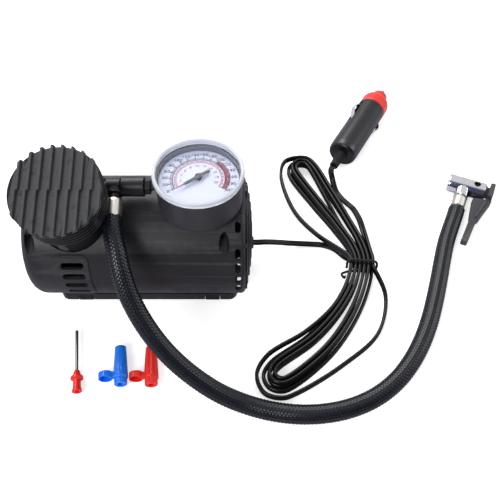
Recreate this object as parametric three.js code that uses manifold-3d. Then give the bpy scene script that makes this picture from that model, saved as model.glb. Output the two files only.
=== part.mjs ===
// Portable 12 V tyre inflator: a barrel housing that holds a motor, a crank gear and a tilted piston
// pump, with a dial gauge, a braided hose and its chuck, a hank of flat cable with its plug, and
// three inflation tips. Millimetres, +Z up, +X towards the cable end, the origin on the floor under
// the middle of the base.

import * as THREE from 'three';
import { mergeVertices } from 'three/addons/utils/BufferGeometryUtils.js';
import Module from 'manifold-3d';

// ---------------------------------------------------------------- driving dimensions (mm, degrees)

const GAP = 0.3;                 // between pieces that seat on each other
const CUT = 1;                   // how far a cutting tool passes the face that it cuts

// Barrel housing: two half shells that meet on a plane through the barrel's axis
const barrelRadius = 35.5;
const barrelWall = 2.2;
const barrelStands = 5;          // height of its underside
const barrelAxisHeight = barrelRadius + barrelStands;
const barrelLeft = -65.3;        // outside of the closed end
const barrelFillet = 8;          // of the closed end
const grilleStart = 59;          // where the wall ends and the domed grille begins
const grilleDepth = 6.3;         // how far the dome stands out
const pumpTilt = 20;             // the piston's axis leans forward by this much, and so does the seam
const barSegments = 32;          // facets round the barrel

// Domed end grille, moulded in the shells
const grilleBarWidth = 2.2;
const grilleGap = 3;
const grilleBarDepth = 3;
const grilleRings = 5;
const grilleHubRadius = 8;
const grilleSpokes = 6;
const grilleSpokeWidth = 2;

// Ring of side slots beside the grille
const slotCentreX = 57;
const slotWidth = 3.3;
const slotSpan = 6.6;
const slotAngles = [12.5, 37.5, 52, 66.5, 81];   // from the seam, mirrored into each quarter

// Raised vent panel under the pump
const ventX = -36;
const ventPanelWidth = 24;
const ventPanelHeight = 38;
const ventPanelRise = 0.6;
const ventPanelAngle = 73.5;
const ventAngles = [52.7, 67.2, 82, 95];
const ventLength = 13;
const ventHeight = 3.5;

// Shell screws, square to the seam plane
const shellScrewX = [-58.7, 49.4];
const shellScrewInset = 4.5;     // in from the outside of the barrel, along the seam plane
const shellScrewOffset = barrelRadius - shellScrewInset;
const screwHoleRadius = 3;
const screwBossRadius = 4.6;
const screwSeatDepth = 9;        // of the head's seat, in front of the seam plane
const screwHeadRadius = 2.7;
const screwHeadHeight = 2.2;
const screwShankRadius = 1.4;
const screwReach = 8;            // of the shank behind the seam plane

// Base
const baseLength = 111;
const baseWidth = 42;
const baseHeight = 7;
const baseFoot = 0.4;            // how far the rubber stands out under the base
const baseCorner = 5;
const padLength = 9;
const padWidth = 5;
const padHeight = 5;
const padInset = 15.5;           // of a pad's middle, in from the end of the base
const padX = baseLength / 2 - padInset;
const ribWidth = 4;              // of the rubber between the pads
const ribHeight = 1.6;
const baseScrewInset = 5.5;      // in from the end of the base
const baseScrewX = baseLength / 2 - baseScrewInset;
const baseScrewLength = 9;

// Pump, along its own leaning axis, heights from the barrel's axis
const pumpX = -35.3;
const blockRadius = 20;
const blockFoot = 16;
const blockTop = 65;
const boreRadius = 11.2;
const valvePocketRadius = 14;
const valvePocketFloor = 58;
const finCount = 5;
const finPitch = 3.3;
const finThickness = 1.6;
const finRadius = 23.7;
const finFirst = 50.2;
const outletRadius = 5;
const coverRadius = 25.25;
const coverBottom = 65.7;
const coverTop = 68;
const ridgePitch = 5.4;
const ridgeWidth = 2.4;
const ridgeHeight = 2;
const ridgeStart = 2;            // of the ridge nearest the middle, on the rear half
const ridgeStep = 1;             // the front half's ridges stand this far left of the rear half's
const plateThickness = 4;        // of the wall that carries the crank bearing and the motor
const plateX = -26;
const plateHalfWidth = 21;

// Crank, rod and piston
const gearModule = 0.7;
const gearTeeth = 31;
const pinionTeeth = 9;
const gearWidth = 5;
const crankThrow = 8;
const crankShaftRadius = 2.5;
const crankPinRadius = 2;
const rodThickness = 6;
const rodLength = 44;
const rodEyeRadius = 5;
const pistonRadius = 10.8;
const pistonHeight = 4.5;
const cupHeight = 1.6;

// Motor
const motorRoom = 1.4;           // between its underside and the shells
const shaftDrop = gearModule * (gearTeeth + pinionTeeth) / 2;   // the motor lies this far below the crank
const motorRadius = barrelRadius - barrelWall - shaftDrop - motorRoom;
const motorLength = 46;
const motorWall = 1.2;
const motorShaftRadius = 1.5;
const endBellLength = 7;
const magnetThickness = 4.2;
const magnetFromFront = 6;       // the magnet's ends, in from the motor's
const magnetFromBack = 14;
const airGap = 1.2;              // between the magnet and the armature's core
const windingDepth = 3.5;        // of the windings' ends, in from the core's outside
const commutatorRadius = 4;
const commutatorInset = 3;       // its outer end, in from the motor's

// Gauge
const gaugeX = 36;
const gaugeY = -3.4;
const gaugeSink = 1.1;           // how far it sits down into the barrel's top
const gaugeBottom = barrelAxisHeight + barrelRadius - gaugeSink;
const gaugeCaseRadius = 23.6;
const gaugeCaseHeight = 19.3;
const gaugeCaseTop = gaugeBottom + gaugeCaseHeight;
const gaugeCaseWall = 1.5;
const lensWall = 1.4;            // of the clear ring, outside the case
const lensRadius = gaugeCaseRadius + lensWall;
const lensRise = 2.6;            // above the case
const lensTop = gaugeCaseTop + lensRise;
const lensSkirt = 3.4;           // how far it comes down over the case
const lensSkirtBottom = gaugeCaseTop - lensSkirt;
const windowSink = 1;            // of the window below the lens ring
const windowTop = lensTop - windowSink;
const windowThickness = 1.2;
const lensLip = 1.2;             // how far the ring covers the case's rim
const lensMouthRadius = gaugeCaseRadius - lensLip;
const dialSink = 3.6;            // of the dial's underside below the case's rim
const dialHeight = gaugeCaseTop - dialSink;
const dialThickness = 0.8;
const dialGap = 0.3;             // round the dial, inside the case
const dialRadius = gaugeCaseRadius - gaugeCaseWall - dialGap;
const pointerInset = 4.8;        // of its tip, in from the dial's edge
const pointerLength = dialRadius - pointerInset;
const pointerTail = 7;
const pointerZero = 220;         // the direction of zero on the dial, from +X
const sectorTeeth = 60;
const spindleTeeth = 12;
const movementModule = 0.25;
const dialSeatInset = 4.8;       // of the posts under the dial, in from its edge
const bourdonInset = 4.3;        // of the tube's middle, in from the dial's edge
const bourdonRadius = dialRadius - bourdonInset;
const stemReach = 5.7;           // of the gauge's stem inside the air pipe's sleeve

// Air pipe between the pump, the hose and the gauge
const pipeY = -3;
const pipeAbove = 11.1;          // above the underside of the gauge
const pipeZ = gaugeBottom + pipeAbove;
const pipeRadius = 3;
const sleeveRadius = 5.75;
const sleeveStart = -6.5;
const sleeveEnd = 6.1;
const nutRadius = 4.7;
const nutLength = 3;
const stemRadius = 2.4;
const branchX = -10;
const branchRadius = 3.4;
const branchDrop = 16;           // degrees below level, towards the front
const branchLength = 5.8;
const ferruleRadius = 4.5;
const pumpFerruleLength = 12.6;

// Hose
const hoseRadius = 5.6;
const hoseFloor = 5.7;           // height of its middle where it lies
const hoseSteps = 30;
const hoseSides = 10;

// Chuck
const chuckX = 218.6;
const chuckY = 69.8;
const chuckZ = 6.6;
const chuckTurn = -23;
const chuckRadius = 6.2;
const chuckHalf = 14;
const chuckMouthRadius = 4.3;
const chuckMouthDepth = 8;
const chuckPortX = -2.8;
const chuckPortRadius = 4.9;
const leverPinX = 5.5;
const leverPinRadius = 1.6;
const leverSlot = 5.4;
const leverEye = 4.3;
const leverThickness = 4.6;
const leverHeadHeight = 11;
const leverHeadRise = 8.9;       // from the pin to the head's inner face
const leverHeadThickness = 3.2;
const chuckFerruleLength = 15;

// Cable and plug
const cableThick = 2.2;
const cableWide = 4.2;
const grommetX = 62;
const grommetInset = 3.1;        // in from the inside of the barrel
const grommetTurn = 28.7;        // degrees from straight down, towards the back
const grommetRadius = 4.2;
const grommetFlange = 5.8;
const grommetBoss = 7;           // of the shells round the grommet
const tieRadius = 0.8;
const plugRear = [130.5, 98.7];
const plugHeight = 10.8;
const plugTurn = 61;
const plugRoll = 35;
const plugRadius = 10.5;
const plugBodyLength = 56;
const plugWall = 2.2;
const collarLength = 14.6;
const noseLength = 4.8;
const noseRadius = 5.8;
const pinRadius = 1.7;
const pinOut = 6.4;
const pinTravel = 3;
const bootLength = 13;
const bootRadius = 3.7;
const bootTipRadius = 3.1;

// Inflation tips
const needleLength = 27;
const needleRadius = 0.95;

// ---------------------------------------------------------------- solids

const wasm = await Module();
wasm.setup();

const rad = THREE.MathUtils.degToRad;
const axisX = new THREE.Vector3(1, 0, 0);
const axisY = new THREE.Vector3(0, 1, 0);
const axisZ = new THREE.Vector3(0, 0, 1);

// The air pipe's line in the leaning frame of the pump, where the outlet boss meets it.
const pipeUp = pipeZ - barrelAxisHeight;
const outletHeight = pipeUp * Math.cos(rad(pumpTilt)) - pipeY * Math.sin(rad(pumpTilt));
const outletBehind = pipeUp * Math.sin(rad(pumpTilt)) + pipeY * Math.cos(rad(pumpTilt));

const barrelInner = barrelRadius - barrelWall;
const grommetReach = barrelInner - grommetInset;
const grommetY = grommetReach * Math.sin(rad(grommetTurn));
const grommetZ = barrelAxisHeight - grommetReach * Math.cos(rad(grommetTurn));

// A closed geometry as a solid, with its faces turned out.
function solid(geometry) {
  const bare = new THREE.BufferGeometry();
  bare.setAttribute('position', geometry.attributes.position);
  if (geometry.index) bare.setIndex(geometry.index);
  const merged = mergeVertices(bare, 1e-4);
  const p = merged.attributes.position.array;
  const corners = merged.index.array;
  const tris = [];
  let volume = 0;
  for (let i = 0; i < corners.length; i += 3) {
    const [a, b, c] = [corners[i], corners[i + 1], corners[i + 2]];
    if (a === b || b === c || c === a) continue;
    tris.push(a, b, c);
    const [ax, ay, az] = [p[3 * a], p[3 * a + 1], p[3 * a + 2]];
    const [bx, by, bz] = [p[3 * b], p[3 * b + 1], p[3 * b + 2]];
    const [cx, cy, cz] = [p[3 * c], p[3 * c + 1], p[3 * c + 2]];
    volume += ax * (by * cz - bz * cy) + ay * (bz * cx - bx * cz) + az * (bx * cy - by * cx);
  }
  if (volume < 0) tris.reverse();
  return new wasm.Manifold(new wasm.Mesh({
    numProp: 3, vertProperties: new Float32Array(p), triVerts: new Uint32Array(tris),
  }));
}

function join(...solids) {
  return solids.reduce((a, b) => a.add(b));
}

function cut(body, ...tools) {
  return tools.reduce((a, b) => a.subtract(b), body);
}

function toGeometry(body) {
  const mesh = body.getMesh();
  const geometry = new THREE.BufferGeometry();
  geometry.setAttribute('position', new THREE.BufferAttribute(mesh.vertProperties, mesh.numProp));
  geometry.setIndex(new THREE.BufferAttribute(mesh.triVerts, 1));
  geometry.computeVertexNormals();
  return geometry;
}

// A box between two corners.
function box(x0, x1, y0, y1, z0, z1) {
  const g = new THREE.BoxGeometry(x1 - x0, y1 - y0, z1 - z0);
  return solid(g.translate((x0 + x1) / 2, (y0 + y1) / 2, (z0 + z1) / 2));
}

const quarterTurns = { x: [axisZ, -Math.PI / 2], y: [axisZ, 0], z: [axisX, Math.PI / 2] };

// Turns a geometry that stands along +Y to stand along the named axis.
function stand(g, axis) {
  const [about, angle] = quarterTurns[axis];
  return g.applyMatrix4(new THREE.Matrix4().makeRotationAxis(about, angle));
}

// A round bar along an axis, from one place on it to another; centre gives the other two places.
function bar(radius, from, to, axis = 'z', centre = [0, 0], sides = 32) {
  const g = stand(new THREE.CylinderGeometry(radius, radius, to - from, sides), axis);
  return solid(moveAlong(g, (from + to) / 2, axis, centre));
}

function cone(radiusFrom, radiusTo, from, to, axis = 'z', centre = [0, 0], sides = 32) {
  const g = stand(new THREE.CylinderGeometry(radiusTo, radiusFrom, to - from, sides), axis);
  return solid(moveAlong(g, (from + to) / 2, axis, centre));
}

function moveAlong(g, along, axis, centre) {
  if (axis === 'x') return g.translate(along, centre[0], centre[1]);
  if (axis === 'y') return g.translate(centre[0], along, centre[1]);
  return g.translate(centre[0], centre[1], along);
}

function pipe(outer, inner, from, to, axis = 'z', centre = [0, 0], sides = 32) {
  return cut(bar(outer, from, to, axis, centre, sides),
    bar(inner, from - CUT, to + CUT, axis, centre, sides));
}

// A turned piece: pairs of (radius, place along the axis), closed on the axis.
function turned(pairs, axis = 'z', centre = [0, 0], sides = 32) {
  const points = pairs.map(([r, along]) => new THREE.Vector2(r, along));
  const closed = points.every((p, i) => i === 0 || i === points.length - 1 || p.x > 0)
    && points[0].x === 0 && points.at(-1).x === 0;
  if (!closed) points.push(points[0].clone());
  const g = stand(new THREE.LatheGeometry(points, sides), axis);
  return solid(moveAlong(g, 0, axis, centre));
}

// A flat outline given thickness along +Z.
function plate(shape, from, to, curveSegments = 8) {
  const g = new THREE.ExtrudeGeometry(shape, { depth: to - from, bevelEnabled: false, curveSegments });
  return solid(g.translate(0, 0, from));
}

function outline(points) {
  return new THREE.Shape(points.map(([x, y]) => new THREE.Vector2(x, y)));
}

function roundedRect(width, height, corner) {
  const [w, h] = [width / 2, height / 2];
  const s = new THREE.Shape();
  s.moveTo(-w + corner, -h);
  s.lineTo(w - corner, -h);
  s.absarc(w - corner, -h + corner, corner, -Math.PI / 2, 0);
  s.lineTo(w, h - corner);
  s.absarc(w - corner, h - corner, corner, 0, Math.PI / 2);
  s.lineTo(-w + corner, h);
  s.absarc(-w + corner, h - corner, corner, Math.PI / 2, Math.PI);
  s.lineTo(-w, -h + corner);
  s.absarc(-w + corner, -h + corner, corner, Math.PI, 1.5 * Math.PI);
  return s;
}

// Points of an arc, both ends included.
function arc(centreR, centreAlong, radius, fromDegrees, toDegrees, steps) {
  return Array.from({ length: steps + 1 }, (_, i) => {
    const a = rad(fromDegrees + (toDegrees - fromDegrees) * i / steps);
    return [centreR + radius * Math.cos(a), centreAlong + radius * Math.sin(a)];
  });
}

// A solid turned about a named axis through the origin.
function spun(body, axis, degrees) {
  const turn = { x: [degrees, 0, 0], y: [0, degrees, 0], z: [0, 0, degrees] }[axis];
  return body.rotate(turn);
}

// ---------------------------------------------------------------- finishes

const finish = (color, roughness, metalness = 0) =>
  new THREE.MeshStandardMaterial({ color, roughness, metalness });

const shellPlastic = finish(0x3a3b3e, 0.62);
const darkPlastic = finish(0x202124, 0.55);
const glossBlack = finish(0x0b0b0d, 0.18);
const blackRubber = finish(0x151515, 0.8);
const castAlloy = finish(0x26272a, 0.5, 0.3);
const steel = finish(0xb9bbbd, 0.3, 1);
const zincSteel = finish(0x8f9296, 0.4, 1);
const chrome = finish(0xe4e6ea, 0.08, 1);
const brass = finish(0xb8924a, 0.3, 1);
const copper = finish(0xb0683c, 0.35, 1);
const gearNylon = finish(0xe6e2d4, 0.5);
const whiteDial = finish(0xf4f5fa, 0.6);
const greyPointer = finish(0x5a6068, 0.4);
const clearPlastic = new THREE.MeshStandardMaterial({
  color: 0xdfe3ea, roughness: 0.1, transparent: true, opacity: 0.35,
});
const leverPlastic = finish(0x55575a, 0.5);
const cablePvc = finish(0x121214, 0.35);
const braid = finish(0x16171a, 0.7);
const plugRed = finish(0xe8302a, 0.35);
const tipBlue = finish(0x1e78f0, 0.35);
const tipRed = finish(0xf02818, 0.35);
const magnetGrey = finish(0x4a4a4c, 0.8);
const glassFuse = finish(0xd8e0e0, 0.1);

const inflator = new THREE.Group();

function add(group, name, body, material) {
  const mesh = new THREE.Mesh(toGeometry(body), material);
  mesh.name = name;
  group.add(mesh);
  return mesh;
}

// ---------------------------------------------------------------- barrel housing
// The pump group leans with the seam plane: its Z runs up the piston's axis, its Y points back.

const pump = new THREE.Group();
pump.position.set(0, 0, barrelAxisHeight);
pump.rotation.x = rad(pumpTilt);
inflator.add(pump);

// Where the grille's dome stands at a radius.
function domeX(r) {
  const flat = Math.min(r / barrelRadius, 1);
  return grilleStart + grilleDepth * Math.sqrt(1 - flat * flat);
}

function barrelShell() {
  const left = barrelLeft;
  const wall = turned([
    [0, left],
    ...arc(barrelRadius - barrelFillet, left + barrelFillet, barrelFillet, -90, 0, 4),
    [barrelRadius, grilleStart],
    [barrelRadius - 1.1, domeX(barrelRadius - 1.1)],
    [barrelInner, domeX(barrelInner)],
    [barrelInner, left + barrelFillet],
    ...arc(barrelRadius - barrelFillet, left + barrelFillet, barrelFillet - barrelWall, 0, -90, 3).slice(1),
    [0, left + barrelWall],
  ], 'x', [0, 0], barSegments);
  return join(wall, ventPanel(), switchPad());
}

// The spokes lie behind the rings and the hub, which reach back at least as far as their fronts.
const spokeFront = domeX(barrelInner) + 1;
const spokeSink = 0.1;
const barBack = (r) => Math.min(domeX(r) - grilleBarDepth, spokeFront - spokeSink);

function grille() {
  const bars = [];
  for (let i = 1; i < grilleRings; i += 1) {
    const middle = barrelInner - i * (grilleBarWidth + grilleGap) + grilleBarWidth / 2;
    const outside = middle + grilleBarWidth / 2;
    const inside = middle - grilleBarWidth / 2;
    bars.push(turned([
      [outside, barBack(outside)], [outside, domeX(outside)],
      [inside, domeX(inside)], [inside, barBack(inside)],
    ], 'x', [0, 0], 24));
  }
  bars.push(turned([
    [0, barBack(0)], [grilleHubRadius, barBack(grilleHubRadius)],
    [grilleHubRadius, domeX(grilleHubRadius)], [0, domeX(0)],
  ], 'x', [0, 0], 16));
  for (let i = 0; i < grilleSpokes; i += 1) {
    const spoke = box(spokeFront - grilleBarDepth, spokeFront,
      -grilleSpokeWidth / 2, grilleSpokeWidth / 2, grilleHubRadius - CUT, barrelInner + 0.5);
    bars.push(spun(spoke, 'x', (i + 0.5) * 360 / grilleSpokes));
  }
  return join(...bars);
}

function barrelSlots() {
  const shape = roundedRect(slotWidth, slotSpan, slotWidth / 2 - 0.3);
  const slot = plate(shape, barrelInner - 3, barrelRadius + 2, 1).translate([slotCentreX, 0, 0]);
  const places = slotAngles.flatMap((a) => [a, 180 - a, -a, a - 180]);
  return join(...places.map((a) => spun(slot, 'x', a)));
}

function ventPanel() {
  const pad = plate(roundedRect(ventPanelWidth, ventPanelHeight, 4), barrelRadius - 14, barrelRadius + 4, 2)
    .translate([ventX, 0, 0]);
  const raised = bar(barrelRadius + ventPanelRise, ventX - ventPanelWidth, ventX + ventPanelWidth,
    'x', [0, 0], barSegments);
  const core = bar(barrelInner + 0.5, ventX - 2 * ventPanelWidth, ventX + 2 * ventPanelWidth,
    'x', [0, 0], barSegments);
  return cut(raised.intersect(spun(pad, 'x', ventPanelAngle)), core);
}

function ventSlots() {
  const shape = roundedRect(ventLength, ventHeight, ventHeight / 2 - 0.3);
  const slot = plate(shape, barrelInner - 3, barrelRadius + 3, 1).translate([ventX, 0, 0]);
  return join(...ventAngles.map((a) => spun(slot, 'x', a)));
}

// A flat pad on the back for the rocker switch.
const switchX = 22;
const switchPadLength = 26;
const switchPadHeight = 17;
const switchPadFace = barrelRadius + 0.4;
const switchHoleLength = 13.2;
const switchHoleHeight = 8.8;

function switchPad() {
  const pad = box(switchX - switchPadLength / 2, switchX + switchPadLength / 2,
    barrelInner - 4, switchPadFace, -switchPadHeight / 2, switchPadHeight / 2);
  const hollow = box(switchX - switchPadLength / 2 + barrelWall, switchX + switchPadLength / 2 - barrelWall,
    0, switchPadFace - barrelWall, -switchPadHeight / 2 + barrelWall, switchPadHeight / 2 - barrelWall);
  const core = bar(barrelInner + 0.4, switchX - 20, switchX + 20, 'x', [0, 0], barSegments);
  return cut(pad, cut(hollow, core), core);
}

function screwBosses() {
  const bosses = [];
  for (const x of shellScrewX) {
    bosses.push(bar(screwBossRadius, -barrelRadius, screwReach + 3, 'y', [x, shellScrewOffset], 14));
  }
  const skin = join(
    bar(barrelRadius - 0.2, barrelLeft + barrelFillet, grilleStart, 'x', [0, 0], barSegments),
    turned([[0, barrelLeft + 0.2],
      ...arc(barrelRadius - barrelFillet, barrelLeft + barrelFillet, barrelFillet - 0.2, -90, 0, 3),
      [0, barrelLeft + barrelFillet]], 'x', [0, 0], barSegments));
  return join(...bosses).intersect(skin);
}

function screwHoles() {
  const holes = [];
  for (const x of shellScrewX) {
    holes.push(bar(screwHoleRadius, -barrelRadius - 2, -screwSeatDepth, 'y', [x, shellScrewOffset], 12));
    holes.push(bar(screwShankRadius + GAP, -barrelRadius, screwReach + 1, 'y', [x, shellScrewOffset], 8));
  }
  return join(...holes);
}

// What the pump's neck, the gauge, the base screws, the switch and the cable pass through.
function housingOpenings() {
  const neck = bar(blockRadius + GAP + 0.3, 0, barrelRadius + 5, 'z', [pumpX, 0], 32);
  const rocker = box(switchX - switchHoleLength / 2 - GAP, switchX + switchHoleLength / 2 + GAP,
    barrelInner - 8, switchPadFace + 2, -switchHoleHeight / 2 - GAP, switchHoleHeight / 2 + GAP);
  return join(neck, rocker);
}

// The same in the object's own upright frame.
function uprightOpenings() {
  const cradle = bar(gaugeCaseRadius + GAP, gaugeBottom - GAP, gaugeBottom + 20, 'z', [gaugeX, gaugeY], 32);
  const screws = [-1, 1].map((s) =>
    bar(screwShankRadius + GAP, 0, baseScrewLength + 3, 'z', [s * baseScrewX, 0], 8));
  const cable = bar(grommetRadius + GAP, grommetX - 12, grommetX + 12, 'x', [grommetY, grommetZ], 16);
  const flangeSeat = bar(grommetFlange + GAP + 0.1, grommetX, grommetX + 12, 'x', [grommetY, grommetZ], 16);
  return join(cradle, cable, flangeSeat, ...screws);
}

function baseScrewBosses() {
  const bosses = [-1, 1].map((s) => bar(3.6, 4, baseScrewLength + 4, 'z', [s * baseScrewX, 0], 10));
  const inside = bar(barrelRadius - 0.2, barrelLeft, grilleStart, 'x', [0, barrelAxisHeight], barSegments);
  return join(...bosses).intersect(inside);
}

// The upright frame's solid as it stands in the leaning pump group, and back.
function lean(body) {
  return spun(body.translate([0, 0, -barrelAxisHeight]), 'x', -pumpTilt);
}

const housing = cut(
  join(barrelShell(), grille(), screwBosses(), lean(baseScrewBosses()),
    lean(pipe(grommetBoss, grommetRadius + GAP, grommetX - 2.6, grommetX, 'x', [grommetY, grommetZ], 16))),
  barrelSlots(), ventSlots(), screwHoles(), housingOpenings(), lean(uprightOpenings()));
const seamHalf = GAP / 2;
const wide = 2 * (barrelRadius - barrelLeft);          // beyond the housing on every side
add(pump, 'front_shell', cut(housing, box(-wide, wide, -seamHalf, wide, -wide, wide)), shellPlastic);
add(pump, 'rear_shell', cut(housing, box(-wide, wide, -wide, seamHalf, -wide, wide)), shellPlastic);

function shellScrew(x) {
  const seat = -screwSeatDepth - GAP;
  const head = bar(screwHeadRadius, seat - screwHeadHeight, seat, 'y', [x, shellScrewOffset], 14);
  const shank = bar(screwShankRadius, seat - 0.5, screwReach, 'y', [x, shellScrewOffset], 8);
  const slotFace = seat - screwHeadHeight;
  const cross = join(
    box(x - 1.6, x + 1.6, slotFace - 1, slotFace + 0.9, shellScrewOffset - 0.4, shellScrewOffset + 0.4),
    box(x - 0.4, x + 0.4, slotFace - 1, slotFace + 0.9, shellScrewOffset - 1.6, shellScrewOffset + 1.6));
  return cut(join(head, shank), cross);
}
add(pump, 'shell_screw_left', shellScrew(shellScrewX[0]), zincSteel);
add(pump, 'shell_screw_right', shellScrew(shellScrewX[1]), zincSteel);

// ---------------------------------------------------------------- base

// One rubber moulding under the base: two strips from front to back with their ends turned up as the
// pads that show, and a rib that joins them.
function basePads(room = 0) {
  const strips = [-1, 1].flatMap((s) => {
    const [left, right] = [s * padX - padLength / 2 - room, s * padX + padLength / 2 + room];
    const half = baseWidth / 2;
    return [box(left, right, -half - room, half + room, -room, ribHeight + room),
      box(left, right, -half - room, -half + padWidth + room, -room, padHeight + room),
      box(left, right, half - padWidth - room, half + room, -room, padHeight + room)];
  });
  const rib = box(-padX, padX, -ribWidth / 2 - room, ribWidth / 2 + room, -room, ribHeight + room);
  return join(...strips, rib);
}

function basePlate() {
  const slab = plate(roundedRect(baseLength, baseWidth, baseCorner), baseFoot, baseHeight, 3);
  const saddle = bar(barrelRadius + GAP, -baseLength, baseLength, 'x', [0, barrelAxisHeight], barSegments);
  const screws = [-1, 1].map((s) => join(
    bar(screwShankRadius + GAP, -CUT, baseHeight + 2, 'z', [s * baseScrewX, 0], 8),
    bar(screwHeadRadius + GAP, -CUT, 2.6, 'z', [s * baseScrewX, 0], 12)));
  return cut(slab, saddle, basePads(GAP), ...screws);
}

function baseScrew(x) {
  return join(bar(screwHeadRadius, 0.7, 2.3, 'z', [x, 0], 12),
    bar(screwShankRadius, 2, baseScrewLength + 2, 'z', [x, 0], 8));
}

add(inflator, 'base_plate', basePlate(), darkPlastic);
add(inflator, 'base_pads', basePads(), blackRubber);
add(inflator, 'base_screw_left', baseScrew(-baseScrewX), zincSteel);
add(inflator, 'base_screw_right', baseScrew(baseScrewX), zincSteel);

// ---------------------------------------------------------------- pump

const bearingRadius = 5;
const gearX = plateX - GAP - 0.4 - gearWidth;

function cylinderBlock() {
  const body = bar(blockRadius, blockFoot, blockTop, 'z', [pumpX, 0], 32);
  const fins = Array.from({ length: finCount }, (_, i) => {
    const z = finFirst + i * finPitch;
    return bar(finRadius, z, z + finThickness, 'z', [pumpX, 0], 32);
  });
  const wall = bar(barrelInner - 1, plateX, plateX + plateThickness, 'x', [0, 0], 24);
  const wallTrim = join(
    box(plateX - CUT, plateX + plateThickness + CUT, -wide, -plateHalfWidth, -wide, wide),
    box(plateX - CUT, plateX + plateThickness + CUT, plateHalfWidth, wide, -wide, wide));
  const boss = bar(outletRadius, pumpX, pumpX + blockRadius - 1, 'x', [outletBehind, outletHeight], 16);
  const solids = join(body, ...fins, cut(wall, wallTrim), boss);
  return cut(solids,
    bar(boreRadius, blockFoot - CUT, valvePocketFloor - 2, 'z', [pumpX, 0], 24),
    bar(2, valvePocketFloor - 3, valvePocketFloor + 1, 'z', [pumpX, 0], 10),
    bar(valvePocketRadius, valvePocketFloor, blockTop + CUT, 'z', [pumpX, 0], 24),
    bar(pipeRadius + GAP, pumpX + blockRadius - 4, pumpX + blockRadius + 5, 'x',
      [outletBehind, outletHeight], 16),
    bar(bearingRadius + GAP, plateX - CUT, plateX + plateThickness + CUT, 'x', [0, 0], 16),
    bar(6.7, plateX - CUT, plateX + plateThickness + CUT, 'x', [0, -shaftDrop], 16));
}
add(pump, 'cylinder_block', cylinderBlock(), castAlloy);

function headCover() {
  const disc = turned([[0, coverBottom], [coverRadius - 0.6, coverBottom], [coverRadius, coverBottom + 0.6],
    [coverRadius, coverTop - 0.5], [coverRadius - 0.5, coverTop], [0, coverTop]], 'z', [pumpX, 0], 36);
  const ridge = (x, y0, y1) => {
    const [base, top] = [ridgeWidth / 2, ridgeWidth / 2 - 0.5];
    const shape = outline([[x - base, coverTop - 0.6], [x + base, coverTop - 0.6],
      [x + top, coverTop + ridgeHeight], [x - top, coverTop + ridgeHeight]]);
    const g = new THREE.ExtrudeGeometry(shape, { depth: y1 - y0, bevelEnabled: false });
    return solid(g.rotateX(Math.PI / 2).translate(pumpX, y1, 0));
  };
  const ridges = [];
  const count = Math.ceil(coverRadius / ridgePitch) + 1;
  for (let i = -count; i <= count; i += 1) {
    const x = ridgeStart + i * ridgePitch;
    if (Math.abs(x) < coverRadius - 1.5) ridges.push(ridge(x, 0, coverRadius + 1));
    const front = x - ridgeStep;
    if (Math.abs(front) < coverRadius - 1.5) ridges.push(ridge(front, -coverRadius - 1, 0.4));
  }
  const rim = bar(coverRadius + 0.3, coverBottom + 0.6, coverTop + ridgeHeight + 1, 'z', [pumpX, 0], 36);
  return join(disc, join(...ridges).intersect(rim));
}
add(pump, 'head_cover', headCover(), castAlloy);
const gasketWidth = 2.5;
const gasketBore = valvePocketRadius + 0.5;
add(pump, 'head_gasket', pipe(gasketBore + gasketWidth, gasketBore, blockTop + 0.2, coverBottom - 0.2,
  'z', [pumpX, 0], 24), blackRubber);
const valvePlateTop = valvePocketFloor + GAP + 1.6;
const valvePlate = cut(
  bar(valvePocketRadius - GAP, valvePocketFloor + GAP, valvePlateTop, 'z', [pumpX, 0], 24),
  bar(1.5, valvePocketFloor - CUT, valvePlateTop + CUT, 'z', [pumpX, 0], 8));
add(pump, 'valve_plate', valvePlate, steel);
const ballRadius = 1.9;
const ballSeat = valvePlateTop + 1.45;
const valveBall = solid(new THREE.SphereGeometry(ballRadius, 10, 6).rotateX(Math.PI / 2)
  .translate(pumpX, 0, ballSeat));
add(pump, 'outlet_valve_ball', valveBall, steel);

// A coil spring as one unbroken wire.
function coilSpring(radius, wire, from, to, turns, stepsPerTurn = 8, sides = 4) {
  const steps = turns * stepsPerTurn;
  const points = Array.from({ length: steps + 1 }, (_, i) => {
    const a = 2 * Math.PI * i / stepsPerTurn;
    return new THREE.Vector3(radius * Math.cos(a), radius * Math.sin(a), from + (to - from) * i / steps);
  });
  return solid(sweep(points, circleSection(wire, sides)));
}

function circleSection(radius, sides) {
  return Array.from({ length: sides }, (_, i) => {
    const a = 2 * Math.PI * (i + 0.5) / sides;
    return [radius * Math.cos(a), radius * Math.sin(a)];
  });
}

// A section (side, up) carried along points, capped at both ends. Its up side stays upright, or leans
// over by the roll (radians) given for each point; it stands square to the way ahead, where that is given.
function sweep(points, section, rolls = [], aheads = []) {
  const positions = [];
  const tris = [];
  const n = section.length;
  points.forEach((p, i) => {
    const before = points[Math.max(i - 1, 0)];
    const after = points[Math.min(i + 1, points.length - 1)];
    const ahead = aheads[i] ?? after.clone().sub(before).normalize();
    const side = ahead.clone().cross(axisZ).normalize();
    const up = side.clone().cross(ahead).normalize();
    const roll = rolls[i] ?? 0;
    for (const [across, tall] of section) {
      const s = across * Math.cos(roll) - tall * Math.sin(roll);
      const u = across * Math.sin(roll) + tall * Math.cos(roll);
      positions.push(p.x + side.x * s + up.x * u, p.y + side.y * s + up.y * u, p.z + side.z * s + up.z * u);
    }
  });
  for (let i = 0; i < points.length - 1; i += 1) {
    for (let j = 0; j < n; j += 1) {
      const [a, b] = [i * n + j, i * n + (j + 1) % n];
      tris.push(a, b, b + n, a, b + n, a + n);
    }
  }
  const last = (points.length - 1) * n;
  for (let j = 1; j < n - 1; j += 1) {
    tris.push(0, j + 1, j);
    tris.push(last, last + j, last + j + 1);
  }
  const g = new THREE.BufferGeometry();
  g.setAttribute('position', new THREE.Float32BufferAttribute(positions, 3));
  g.setIndex(tris);
  return g;
}

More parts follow.
